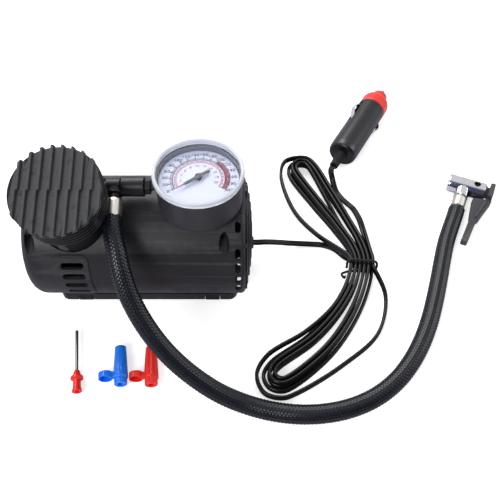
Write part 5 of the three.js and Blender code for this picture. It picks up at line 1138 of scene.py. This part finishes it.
class MakeCable(InflatorPiece):
    """Makes the flat cable, its hank's tie, and the grommet"""
    bl_idname = "inflator.cable"
    bl_label = "Cable"

    def make(self, scene):
        sizes = scene.inflator_cable
        hank = Hank()
        line, rolls = cable_line(hank)
        mesh = sweep(line, self.two_core(*in_mm(sizes, "thickness", "width")), rolls)
        cable = finished("cable_flat", mesh, "cable", ["cable_hank", "cable_lead", "plug_lead"],
                         smooth=rad(60))
        tie = finished("hank_tie_wire", sweep(self.tie_line(hank), circle(TIE_RADIUS, 12)), "rubber",
                       ["hank_tie"], smooth=rad(60))
        from_node("cable_grommet", "rubber", ease=0.3)
        float(distances(line)[-1] * MM)

    @staticmethod
    def two_core(thickness, width):
        """A figure of eight, upright: two round cores side by side with a shallow web between them."""
        r = thickness / 2
        rise = width / 2 - r
        top = [(r * math.cos(rad(a)), rise + r * math.sin(rad(a))) for a in range(-40, 221, 26)]
        return [*top, (-r * 0.62, 0), *((-x, -y) for x, y in top), (r * 0.62, 0)]

    @staticmethod
    def tie_line(hank):
        middle, ahead = hank.beside(HANK_WAIST)
        half = WAIST_STEP * LAYER_TURNS + CABLE_THICK / 2 + TIE_RADIUS + 1.5 * GAP
        low = TIE_RADIUS + 0.35
        high = hank.point(0)[2] + LAYER_HEIGHT + CABLE_WIDE / 2 + TIE_RADIUS + 1.4 * GAP
        turn = 1.8

        def at(side, z, along=0.0):
            return (middle[0] + ahead[1] * side + ahead[0] * along,
                    middle[1] - ahead[0] * side + ahead[1] * along, z)
        return evenly(curved([
            at(-half - 0.2, low + turn + 1.4, -0.5), at(-half, high - turn), at(-half + turn, high),
            at(0, high + 0.2), at(half - turn, high), at(half, high - turn), at(half, low + turn),
            at(half - turn, low), at(0, low), at(-half + turn, low, -0.8), at(-half - 0.6, low + 0.5, -2.2),
            at(-half - 2.6, 2.2, -3.6), at(-half - 3.2, 3.4, -6), at(-half - 1.6, 2.6, -7.4),
            at(-half - 0.9, 1.4, -5.6)]), 0.6)


class MakeHousing(InflatorPiece):
    """Makes the two half shells with their grille, slots and vents"""
    bl_idname = "inflator.housing"
    bl_label = "Housing"

    left, start, dome, fillet = -65.3, 59.0, 6.3, 8.0  # both ends, the rise of the right one, the left rounding
    rings, hub_radius, bar_depth = 4, 8.0, 3.0
    slot_x, slot_angles = 57, (12.5, 37.5, 52, 66.5, 81)
    vent_x, vent_angle, vent_step = -36.0, 49.0, 12.3
    panel_x, panel_angle, panel_rise = -37.1, 68.0, 0.6
    switch_x, pad_face = 22.0, 35.9
    screw_x, screw_z = (-58.7, 49.4), 31.0
    foot_x = (-50, 50)
    neck_radius, gauge_radius, cable_radius = 20.6, 23.9, 4.5

    def make(self, scene):
        self.sizes = scene.inflator_housing
        self.radius, self.wall = in_mm(self.sizes, "radius", "wall")
        self.inner = self.radius - self.wall
        rails = [block(-56, 56, y0, y1, self.radius - 1, self.radius + 0.3)
                 for y0, y1 in ((-0.95, -0.1), (0.1, 0.95))]
        shell = join(self.barrel(), self.vent_panel(), self.switch_pad(), self.grille(), self.bosses(), *rails)
        shell = cut(shell, *self.slots(), *self.vents(), *self.screw_holes(), *self.openings())
        for name, node, y0, y1 in (("shell_front", "front_shell", -90, -GAP / 2),
                                   ("shell_rear", "rear_shell", GAP / 2, 90)):
            half = merged_flats(within(shell.copy(), block(-120, 120, y0, y1, -120, 120)))
            piece = finished(name, half, "housing", [node], PUMP, ease=0.28)
            self.round_shading(piece.data)
        for node in ("shell_screw_left", "shell_screw_right"):
            from_node(node, "black_oxide", ease=0.15)

    def round_shading(self, mesh):
        """Points the normals on the barrel straight out from its axis, so that it shades as one round face."""
        normals = np.array([tuple(n.vector) for n in mesh.corner_normals])
        verts = np.array([tuple(mesh.vertices[loop.vertex_index].co) for loop in mesh.loops])
        turn = np.array(PUMP.inverted().to_3x3()) * MM
        place = (verts - np.array(PUMP.translation)) @ turn.T / MM
        reach = np.hypot(place[:, 1], place[:, 2])
        out = np.column_stack([np.zeros(len(place)), place[:, 1] / reach, place[:, 2] / reach]) @ turn
        out /= np.linalg.norm(out, axis=1)[:, None]
        near, facing = 0.05, 0.97  # millimetres off the barrel or its panel, and the cosine to straight out
        on_it = (np.abs(reach - self.radius) < near) | (np.abs(reach - self.radius - self.panel_rise) < near)
        on_it &= np.einsum("ij,ij->i", normals, out) > facing
        normals[on_it] = out[on_it]
        mesh.normals_split_custom_set(normals.tolist())

    def dome_x(self, r):
        flat = min(r / self.radius, 1)
        return self.start + self.dome * math.sqrt(1 - flat * flat)

    def barrel(self):
        inner, fillet, left = self.inner, self.fillet, self.left
        return lathe([
            (0, left), *arc(self.radius - fillet, left + fillet, fillet, -90, 0, 10),
            (self.radius, self.start), (self.radius - 0.4, self.dome_x(self.radius - 1.1) - 0.8),
            (self.radius - 1.1, self.dome_x(self.radius - 1.1)), (inner, self.dome_x(inner)),
            (inner, left + fillet), *arc(self.radius - fillet, left + fillet, fillet - self.wall, 0, -90, 8)[1:],
            (0, left + self.wall)], "x", sides=ROUND)

    def grille(self):
        width, gap = in_mm(self.sizes, "bar_width", "bar_gap")
        deep, hub = self.bar_depth, self.hub_radius
        rings = []
        for i in range(1, self.rings + 1):
            middle = self.inner - i * (width + gap) + width / 2
            out, inn = middle + width / 2, middle - width / 2
            rings.append(lathe(softened([
                ((out + inn) / 2, self.dome_x(inn) - deep), (out, self.dome_x(out) - deep),
                (out, self.dome_x(out)), (inn, self.dome_x(inn)), (inn, self.dome_x(inn) - deep),
                ((out + inn) / 2 - 0.01, self.dome_x(inn) - deep)], 0.4, 2), "x", sides=120))
        middle = lathe(softened([(0, self.dome_x(0) - deep), (hub, self.dome_x(hub) - deep),
                                 (hub, self.dome_x(hub)), (0, self.dome_x(0))], 0.5, 3), "x", sides=72)
        face = self.dome_x(self.inner) + 1
        spoke = block(face - deep, face, -1, 1, hub - 1, self.inner + 0.5)
        spokes = repeated(spoke, wheel_tree(), Count=self.sizes.spokes,
                          Start=math.pi / self.sizes.spokes, Material=finishes["housing"])
        return join(middle, spokes, *rings)

    def slots(self):
        width, span = in_mm(self.sizes, "slot_width", "slot_span")
        tool = moved(prism(rounded_rect(width, span, width / 2 - 0.05), self.inner - 3, self.radius + 2),
                     self.slot_x)
        return [turned_about(tool.copy(), "X", b) for a in self.slot_angles for b in (a, 180 - a, -a, a - 180)]

    def vent_panel(self):
        pad = moved(prism(rounded_rect(20.5, 36, 4), self.radius - 14, self.radius + 4), self.panel_x)
        raised = rod(self.radius + self.panel_rise, self.vent_x - 24, self.vent_x + 24, "x", sides=ROUND)
        core = rod(self.inner + 0.5, self.vent_x - 48, self.vent_x + 48, "x", sides=ROUND)
        return cut(within(raised, turned_about(pad, "X", self.panel_angle)), core)

    def vents(self):
        tool = moved(prism(rounded_rect(13, 4.4, 1.9), self.inner - 3, self.radius + 3), self.vent_x)
        return [turned_about(tool.copy(), "X", self.vent_angle + self.vent_step * k) for k in range(4)]

    def switch_pad(self):
        x, wall, across, half = self.switch_x, self.wall, 13, 8.5
        pad = block(x - across, x + across, self.inner - 4, self.pad_face, -half, half)
        hollow = block(x - across + wall, x + across - wall, 0, self.pad_face - wall, -half + wall, half - wall)
        core = rod(self.inner + 0.4, x - 20, x + 20, "x", sides=ROUND)
        return cut(pad, cut(hollow, core.copy()), core)

    def bosses(self):
        """Round the screws of the shells and of the base, and the cable's seat, kept within the skin."""
        under = 0.2  # beneath the skin, so that nothing shows through it
        rounding = self.left + self.fillet
        skin = join(rod(self.radius - under, rounding, self.start, "x", sides=ROUND),
                    lathe([(0, self.left + under), *arc(self.radius - self.fillet, rounding,
                                                        self.fillet - under, -90, 0, 10),
                           (0, rounding)], "x", sides=ROUND))
        screws = join(*(rod(4.6, -self.radius, 11, "y", (x, self.screw_z), 40) for x in self.screw_x))
        feet = join(*(rod(3.6, 4, 13, "z", (x, 0), 32) for x in self.foot_x))
        feet = within(feet, rod(self.radius - under, self.left, self.start, "x", (0, PUMP_HEIGHT), ROUND))
        seat = cut(rod(7, 59.4, 62, "x", CABLE_EXIT, 40), rod(self.cable_radius, 50, 70, "x", CABLE_EXIT, 40))
        return join(within(screws, skin), put(join(feet, seat), UPRIGHT_TO_PUMP))

    def screw_holes(self):
        return [rod(r, -self.radius - 2, end, "y", (x, self.screw_z), 40)
                for x in self.screw_x for r, end in ((3.0, -9), (1.7, 9))]

    def openings(self):
        """For the pump's neck, the rocker, the gauge, the cable and the base's screws."""
        neck = rod(self.neck_radius, 0, self.radius + 5, "z", (PUMP_X, 0), 96)
        rocker = block(self.switch_x - 6.9, self.switch_x + 6.9, self.inner - 8, self.pad_face + 2, -4.7, 4.7)
        upright = [rod(self.gauge_radius, 74.6, 95, "z", GAUGE_AT, 120),
                   rod(self.cable_radius, 50, 74, "x", CABLE_EXIT, 40), rod(6.2, 62, 74, "x", CABLE_EXIT, 40),
                   *(rod(1.7, 0, 12, "z", (x, 0), 24) for x in self.foot_x)]
        return [neck, rocker, *(put(tool, UPRIGHT_TO_PUMP) for tool in upright)]


class MakeBase(InflatorPiece):
    """Makes the base, its rubber pads and its screws"""
    bl_idname = "inflator.base"
    bl_label = "Base"

    def make(self, scene):
        from_node("base_plate", "satin", ease=0.35)
        from_node("base_pads", "rubber", ease=0.3)
        for node in ("base_screw_left", "base_screw_right"):
            from_node(node, "zinc", ease=0.1)


class MakePump(InflatorPiece):
    """Makes the finned cylinder, its ribbed cover and the air pipe"""
    bl_idname = "inflator.pump"
    bl_label = "Pump"

    def make(self, scene):
        sizes = scene.inflator_pump
        row = row_tree()
        finished("cover_ribbed", self.cover(sizes, row), "casting", ["head_cover"], PUMP, ease=0.35)
        finished("cylinder_finned", self.cylinder(sizes, row), "casting", ["cylinder_block"], PUMP, ease=0.2)
        run = rod(3, PUMP_X + 16.4, -5.5, "x", PIPE_AT, 48)
        sleeve = lathe(softened([(0, -6.5), (5.55, -6.5), (5.75, 6.1), (0, 6.1)], 0.5), "x", PIPE_AT, 72)
        tee = lathe(softened([(0, -14.6), (4.9, -14.6), (4.9, -7.0), (0, -7.0)], 0.5), "x", PIPE_AT, 72)
        branch = join(rod(4.6, 0, 5.0, "z", sides=48), rod(3.4, 0, 7.3, "z", sides=48))
        solid = join(sleeve, run, tee, pointed(branch, BRANCH_ROOT, BRANCH_AHEAD))
        finished("air_pipe_sleeve", cut(solid, rod(2.7, 0.1, 7.1, "x", PIPE_AT, 32)), "satin", ["air_pipe"],
                 ease=0.25)
        from_node("gauge_nut", "satin", ease=0.25)

    def cover(self, sizes, row):
        radius, pitch, width, height = in_mm(sizes, "cover_radius", "ridge_pitch", "ridge_width", "ridge_height")
        bottom, top = 65.7, 68.0
        centre = (PUMP_X, 0)
        disc = lathe(softened([(0, bottom), (radius - 0.6, bottom), (radius, bottom + 0.6),
                               (radius, top - 0.5), (radius - 0.5, top), (0, top)], 0.3, 3), "z", centre, 160)
        rim = rod(radius + 0.3, bottom + 0.6, top + height + 1, "z", centre, 160)
        half, crown, reach = width / 2, width / 2 - 0.55, radius - 1.5
        section = [(-half, top - 0.6), (half, top - 0.6), (crown, top + height), (-crown, top + height)]
        rows = []
        for first, y0, y1 in ((2.0, 0.0, radius + 1), (1.0, -radius - 1, 0.4)):
            ridge = put(prism(section, y0, y1), Matrix(((1, 0, 0, 0), (0, 0, 1, 0), (0, 1, 0, 0), (0, 0, 0, 1))))
            ridge.flip_normals()
            lowest = first - int((first + reach) / pitch) * pitch
            rows.append(repeated(ridge, row, Count=int((reach - lowest) / pitch) + 1,
                                 First=(PUMP_X + lowest, 0, 0), Step=(pitch, 0, 0),
                                 Material=finishes["casting"]))
        return merged_flats(join(disc, within(join(*rows), rim)))

    def cylinder(self, sizes, row):
        pitch, fin_radius = in_mm(sizes, "fin_pitch", "fin_radius")
        centre, outlet_at = (PUMP_X, 0), (12.7, 43.8)
        body = rod(20, 16, 65, "z", centre, 120)
        fin = lathe(softened([(0, 0), (fin_radius, 0), (fin_radius, 1.6), (0, 1.6)], 0.45, 3), "z", centre, 160)
        fins = repeated(fin, row, Count=sizes.fins, First=(0, 0, 50.2), Step=(0, 0, pitch),
                        Material=finishes["casting"])
        wall = within(rod(32.3, -26, -22, "x", sides=72), block(-40, 0, -21, 21, -60, 60))
        solid = join(body, fins, wall, rod(5, PUMP_X, PUMP_X + 19, "x", outlet_at, 40))
        bore, port = rod(11.2, 15, 56, "z", centre, 72), rod(2, 55, 59, "z", centre, 24)
        valve_well = rod(14, 58, 66, "z", centre, 72)
        outlet = rod(3.3, PUMP_X + 16, PUMP_X + 25, "x", outlet_at, 40)
        pinion_hole, bearing_hole = rod(5.3, -27, -21, "x", sides=48), rod(6.7, -27, -21, "x", (0, -14), 48)
        return cut(solid, bore, port, valve_well, outlet, pinion_hole, bearing_hole)


class MakeGauge(InflatorPiece):
    """Makes the dial gauge with its printed scale"""
    bl_idname = "inflator.gauge"
    bl_label = "Gauge"

    dial_top = 92.2
    case_top, ring_low, ring_top = 95.8, 96.1, 99.0
    zero, full = 210.0, -27.0  # directions of the ends of the scale, from +X
    rest = 217.0               # of the pointer on its stop, a little below zero

    def make(self, scene):
        sizes = scene.inflator_gauge
        lens, dial, scale = in_mm(sizes, "lens_radius", "dial_radius", "scale_radius")
        self.case()
        self.window(lens)
        low, top = self.dial_top - 0.8, self.dial_top
        plate = lathe(softened([(1.3, low), (dial, low), (dial, top), (1.3, top)], 0.15), "z", sides=120)
        finished("dial_plate", plate, "dial", ["gauge_dial"], GAUGE)
        self.prints(sizes, scale)
        self.pointer(scale)

    def case(self):
        """The cup, black outside, with a paler inside wall above the dial."""
        top, outside, inside = self.case_top, 23.6, 22.1
        cup = lathe(softened([(0, 74.9), (21.6, 74.9), (22.9, 75.3), (outside, 76.9), (outside, top), (inside, top),
                              (inside, 76.4), (0, 76.4)], 0.5), "z", sides=144)
        cup = cut(cup, rod(2.7, -25.6, -19.6, "x", (0.4, 86), 32))
        obj = finished("gauge_housing", cup, "case", ["gauge_case"], GAUGE)
        obj.data.materials.append(finishes["liner"])
        for face in obj.data.polygons:
            out = face.center - GAUGE.translation
            if out.z > 80 * MM and abs(face.normal.z) < 0.6 and face.normal.x * out.x + face.normal.y * out.y < 0:
                face.material_index = 1

    def window(self, lens):
        """The flat window and the milky ring that holds it, one moulding."""
        low, top, inside = self.ring_low, self.ring_top, 22.9
        ring = lathe(softened([(inside, low + 0.2), (23.2, low), (lens, low), (lens, top - 0.6), (lens - 0.6, top),
                               (inside + 0.4, top), (inside, top - 0.5), (inside, low + 0.2)], 0.3, 3)[:-1],
                     "z", sides=144)
        pane = rod(inside - 0.02, top - 1.7, top - 0.9, "z", sides=144)
        obj = finished("gauge_window", gathered(ring, pane), None, ["gauge_lens"], GAUGE)
        for finish in ("ring", "lens"):
            obj.data.materials.append(finishes[finish])
        for face in obj.data.polygons:
            reach = max((obj.data.vertices[v].co - GAUGE.translation).xy.length for v in face.vertices)
            face.material_index = 1 if reach < (inside - 0.01) * MM else 0

    def pointer(self, scale):
        """A flat hand, broad to two thirds of its reach and then a thin red point, on a round hub."""
        low = self.dial_top + 1.6
        blade = prism([(-7.2, -1.0), (9, -0.9), (9.3, 0), (9, 0.9), (-7.2, 1.0)], low, low + 0.6)
        hub = lathe(softened([(0, low - 0.5), (2.1, low - 0.5), (2.1, low + 1.0), (0, low + 1.0)], 0.3),
                    "z", sides=40)
        stem = rod(0.6, self.dial_top - 5.2, low, "z", sides=24)
        hand = turned_about(join(blade, hub, stem), "Z", self.rest)
        finished("pointer_hand", hand, "pointer", ["gauge_pointer"], GAUGE, body="pointer", ease=0.1)
        point = turned_about(prism([(9.2, -0.32), (scale, -0.16), (scale, 0.16), (9.2, 0.32)], low + 0.05, low + 0.5),
                             "Z", self.rest)
        finished("pointer_point", point, "red_ink", ["gauge_pointer"], GAUGE, body="pointer", ease=0.05)

    def prints(self, sizes, scale):
        """Strokes, arcs and numbers, in the inks of their colours."""
        span = self.zero - self.full
        stroke = block(-0.5, 0.5, -0.5, 0.5, 0.0, 0.06)
        ring = {"Height": self.dial_top, "First": rad(self.zero), "Span": rad(span), "Material": finishes["ink"]}
        tree = scale_tree()
        outer = repeated(stroke.copy(), tree, Divisions=sizes.divisions, Every=4, Radius=scale, Length=1.6,
                         Long=2.4, Width=0.42, **ring)
        inner = repeated(stroke, tree, Divisions=63, Every=3, Radius=scale - 2.0, Length=1.0, Long=1.6,
                         Width=0.3, **ring)
        black = [outer, moved(inner, z=0.02), self.band(scale - 0.25, scale + 0.2, self.zero)]
        pink = [self.band(scale - 2.2, scale - 0.2, self.zero)]
        red = [self.band(scale + 0.2, scale + 2.9, 51.0, self.full + 1),
               self.band(scale - 2.3, scale - 2.1, self.zero)]
        for number in range(0, 301, 20):
            black.append(self.figure(str(number), scale + 4.1, self.zero - span * number / 300, 2.15))
        for number in range(2, 21, 2):
            red.append(self.figure(str(number), scale - 4.5, self.zero - span * number / 21, 1.6))
        for name, meshes, finish in (("dial_black_print", black, "ink"), ("dial_red_print", red, "red_ink"),
                                     ("dial_pink_print", pink, "pink_ink")):
            made = put(gathered(*meshes), GAUGE)
            made.name = name
            made.materials.append(finishes[finish])
            for face in made.polygons:
                face.material_index = 0
            obj = shown(name, made)
            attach(obj, "housing")

    def band(self, inner, outer, start, end=full, steps=90):
        """A flat printed arc, clockwise from one direction to another."""
        bm = bmesh.new()
        near, far = ([bm.verts.new((x, y, self.dial_top + 0.05)) for x, y in arc(0, 0, r, start, end, steps)]
                     for r in (inner, outer))
        for k in range(steps):
            bm.faces.new((far[k], near[k], near[k + 1], far[k + 1]))
        return as_mesh(bm)

    def figure(self, text, radius, degrees, height):
        """A plain upright number, centred on its place on the dial."""
        font = bpy.data.curves.new("figure", "FONT")
        size_of_height = 1.38
        font.body, font.size, font.align_x, font.align_y = text, height * size_of_height, "CENTER", "CENTER"
        font.offset, font.space_character, font.resolution_u = 0.07, 1.1, 3
        (x, y), _ = arc(0, 0, radius, degrees, degrees, 1)
        return moved(taken(shown("figure", font)), x, y, self.dial_top + 0.06)


class MakeChuck(InflatorPiece):
    """Makes the chrome chuck and its lever"""
    bl_idname = "inflator.chuck"
    bl_label = "Chuck"

    def make(self, scene):
        radius, half, pin, ball = 6.2, 14.0, 5.5, 8.5
        dome = math.sqrt(ball ** 2 - radius ** 2)
        cap = [(math.sqrt(ball ** 2 - x * x), pin + x) for x in np.linspace(dome, ball, 10)[:-1]]
        cap.append((0, pin + ball))
        barrel = lathe([(0, -half), *softened([(0.1, -half), (radius - 0.6, -half), (radius, -half + 0.6),
                                               (radius, -half + 2)], 0.4, 3)[1:], *cap], "x", sides=120)
        port = rod(4.9, -11.7, -1, "y", (-2.8, 0), 64)
        mouth, passage = rod(4.3, -half - 1, -half + 8, "x", sides=64), rod(1.4, -half, pin, "x", sides=32)
        fork = block(pin - 4.6, half + 8, -radius - 3, radius + 3, -2.7, 2.7)
        pin_hole = rod(1.9, -radius - 1, 0, "z", (pin, 0), 40)
        pin_entry = rod(2.3, -0.5, radius + 1, "z", (pin, 0), 48)
        body = cut(join(barrel, port), mouth, passage, fork, pin_hole, pin_entry)
        finished("chuck_shell", body, "chrome", ["chuck_body"], CHUCK, ease=0.2)
        from_node("chuck_seal", "rubber", ease=0.2)
        from_node("lever_pin", "black_oxide", ease=0.2)
        finished("lever_moulded", self.lever(), "lever", ["chuck_lever"], CHUCK, body="lever", ease=0.45)

    @staticmethod
    def lever():
        half, inner, thick = 2.3, 8.9, 3.2
        eye = rod(4.3, -half, half, "z", sides=72)
        tongue = block(0, inner + 1, -3.4, 3.4, -half, half)
        head = moved(prism(rounded_rect(thick, 13, 1.2), -5.5, 5.5), inner + thick / 2, -1)
        arm = prism([(inner + 0.1, -8.4), (0.4, -10.6), (-0.2, -11.2), (0.6, -23), (1.4, -30), (0.5, -46),
                     (1.0, -46.3), (1.0, -47), (0.3, -47.3), (0.2, -50),
                     (0.9, -51), (3.9, -51), (4.6, -50), (6.2, -30), (7.4, -28.5), (8.9, -22), (12.2, -10),
                     (inner + thick - 0.1, -6), (inner + 0.1, -6)], -half, half)
        rib = prism([(7.6, -11), (4.2, -28), (5.4, -28), (9.2, -11)], -half - 0.9, half + 0.9)
        body = join(eye, tongue, head, arm, rib)
        return moved(cut(body, rod(1.75, -10, 10, "z", sides=40)), 5.5)


class MakePlug(InflatorPiece):
    """Makes the plug with its collar, tip, side contacts and boot"""
    bl_idname = "inflator.plug"
    bl_label = "Plug"

    def make(self, scene):
        radius, length, wall, start = 10.5, 56.0, 2.2, 31.0
        outer = lathe(softened([(0, 0), (8.8, 0), (10.1, 1.5), (radius, 5), (radius, length), (0, length)], 0.4),
                      "x", sides=120)
        slots = [block(start, length - 0.8, y0, y1, -2.9, 2.9) for y0, y1 in ((4, 14), (-14, -4))]
        body = cut(outer, rod(radius - wall, start - 4, length + 1, "x", sides=96), *slots)
        finished("plug_barrel", body, "gloss", ["plug_body"], PLUG, ease=0.25)
        finished("plug_collar_red", self.collar(radius, length, wall), "collar", ["plug_collar"], PLUG, ease=0.25)
        boot = [(0, -13), (3.1, -13)]
        for k in range(4):
            x, r = -10 + k * 2.1, 3.15 + k * 0.14
            boot += [(r - 0.1, x - 0.3), (r - 0.55, x), (r - 0.55, x + 0.5), (r, x + 0.8)]
        boot += [(3.7, -1.6), (4.6, -0.3), (0, -0.3)]
        finished("plug_boot", lathe(softened(boot, 0.25, 2), "x", sides=64), "rubber", ["strain_relief"], PLUG)
        from_node("plug_tip", "steel", body="tip", ease=0.3)
        for node, turn, owner in (("plug_contact_upper", 0, "contact_upper"),
                                  ("plug_contact_lower", 180, "contact_lower")):
            strip = turned_about(self.contact(radius, wall), "X", turn)
            finished(node + "_strip", strip, "chrome", [node], PLUG, body=owner, ease=0.12)
        repaint("plug_spring", "steel")
        repaint("plug_fuse", "fuse")

    @staticmethod
    def collar(radius, length, wall):
        start, rim, front, nose = length + 0.3, length + 11.2, length + 13.9, length + 19.7
        shape = lathe(softened([(0, start), (radius, start), (radius, rim - 2.4), (radius - 1.2, rim), (5.8, rim),
                                (5.8, nose - 0.8), (5.0, nose), (0, nose)], 0.7), "x", sides=120)
        bore = rod(3.4, length - 3, front, "x", sides=48)
        hollow = cut(shape, rod(radius - wall - 2, start - 1, rim - 1, "x", sides=64), bore.copy(),
                     rod(2.0, front - 1, nose + 1, "x", sides=40))
        holder = cut(rod(4.6, length - 1.5, rim - 0.9, "x", sides=48), bore)
        return join(hollow, holder)

    @staticmethod
    def contact(radius, wall):
        foot, sheet = 33.0, 0.6
        inside, top = radius - wall - GAP - sheet, radius + 2.0
        bow = [(foot - 3, inside), (foot + 1, inside), (foot + 7, top - 1.4), (foot + 12, top),
               (foot + 15.5, top - 0.8), (foot + 20, inside - 1.5)]
        line = curved([(x, y, 0) for x, y in bow], 8)
        outline = [(x, y + sheet / 2) for x, y, _ in line] + [(x + 0.1, y - sheet / 2) for x, y, _ in line[::-1]]
        return prism(outline, -2.0, 2.0)


class MakeTips(InflatorPiece):
    """Makes the ball needle and the two tapered nozzles"""
    bl_idname = "inflator.tips"
    bl_label = "Tips"

    def make(self, scene):
        axis = (0, 3.75)
        hub = lathe(softened([(0, 0), (2.9, 0), (2.9, 0.6), (2.3, 3), (2.2, 7.4), (3.7, 7.9), (3.7, 9.4),
                              (2.5, 10), (1.6, 13.5), (0, 13.5)], 0.5), "y", axis, 64)
        hub = cut(hub, rod(1.25, 9.5, 14.5, "y", axis, 32), rod(1.4, -1, 6, "y", axis, 32))
        finished("needle_hub_red", hub, "red_tip", ["needle_hub"], NEEDLE, ease=0.15)
        tube = lathe(softened([(0, 9.8), (0.95, 9.8), (0.95, 40.5), (0.45, 40.5), (0.45, 36.5), (0, 36.5)], 0.2, 3),
                     "y", axis, 40)
        finished("needle_tube_steel", tube, "dark_steel", ["needle_tube"], NEEDLE)
        for name, node, finish, place in (("nozzle_tip_blue", "nozzle_blue", "blue_tip", BLUE_TIP),
                                          ("nozzle_tip_red", "nozzle_red", "red_tip", RED_TIP)):
            finished(name, self.nozzle(), finish, [node], place, ease=0.22)

    @staticmethod
    def nozzle():
        z, hood, hood_x, low, high = 4.3, 4.1, -8.8, 4.6, 8.2
        body = lathe(softened([(0, 0), (3.7, 0), (3.7, 4), (4.3, 4.3), (3.3, 24.2), (0, 24.2)], 0.35),
                     "y", (0, z), 96)
        ring = rod(hood, low, high, "y", (hood_x, hood), 72)
        web = block(hood_x + hood - 0.9, -2, low + 0.3, high - 0.2, 2.4, 6.0)
        return cut(join(body, ring, web), rod(hood - 0.7, low - 1, high - 0.8, "y", (hood_x, hood), 72),
                   rod(1.7, -1, 25.2, "y", (0, z), 40))


class MakeSwitch(InflatorPiece):
    """Makes the rocker switch on the back"""
    bl_idname = "inflator.switch"
    bl_label = "Switch"

    def make(self, scene):
        from_node("switch_frame", "satin", ease=0.25)
        from_node("switch_rocker", "rubber", body="rocker", ease=0.3)


class PaintWorks(InflatorPiece):
    """Gives the pieces inside the housing their finishes"""
    bl_idname = "inflator.works"
    bl_label = "Works inside"

    finish_of = {
        "head_gasket": "rubber", "valve_plate": "steel", "outlet_valve_ball": "steel",
        "outlet_valve_spring": "steel", "crank_gear": "nylon", "crank_bearing": "steel",
        "connecting_rod": "casting", "crank_pin": "steel", "piston_cup": "rubber", "motor_can": "zinc",
        "motor_magnet": "magnet", "armature": "winding", "pinion": "brass", "motor_end_bell": "satin",
        "motor_brushes": "magnet", "gauge_sector": "brass", "gauge_movement_plate": "brass",
        # the Bourdon tube takes the dark satin in place of brass: painted shade in the gap between the nut and the
        # gauge
        "bourdon_tube": "satin",
    }

    def make(self, scene):
        for node, finish in self.finish_of.items():
            repaint(node, finish)


OPERATORS = (MakeStage, MakeHose, MakeCable, MakeHousing, MakeBase, MakePump, MakeGauge, MakeChuck,
             MakePlug, MakeTips, MakeSwitch, PaintWorks)


class InflatorPanel(bpy.types.Panel):
    """Lists the sizes, the finishes and the pieces of the inflator"""
    bl_idname = "VIEW3D_PT_inflator"
    bl_label = "Tyre inflator"
    bl_space_type = "VIEW_3D"
    bl_region_type = "UI"
    bl_category = "Inflator"

    def draw(self, context):
        for name, group in GROUPS.items():
            part = self.layout.box()
            part.label(text=name.split("_")[1].capitalize())
            for prop in group.__annotations__:
                part.prop(getattr(context.scene, name), prop)
        for operator in OPERATORS:
            self.layout.operator(operator.bl_idname)


CLASSES = (*GROUPS.values(), *OPERATORS, InflatorPanel)


def register():
    for cls in CLASSES:
        bpy.utils.register_class(cls)
    for name, group in GROUPS.items():
        setattr(bpy.types.Scene, name, bpy.props.PointerProperty(type=group))


def unregister():
    for name in GROUPS:
        delattr(bpy.types.Scene, name)
    for cls in reversed(CLASSES):
        bpy.utils.unregister_class(cls)


def main():
    register()
    finishes.update(make_finishes(bpy.context.scene.inflator_finishes))
    for operator in OPERATORS:
        getattr(bpy.ops.inflator, operator.bl_idname.split(".")[1])()


if __name__ == "__main__":
    main()
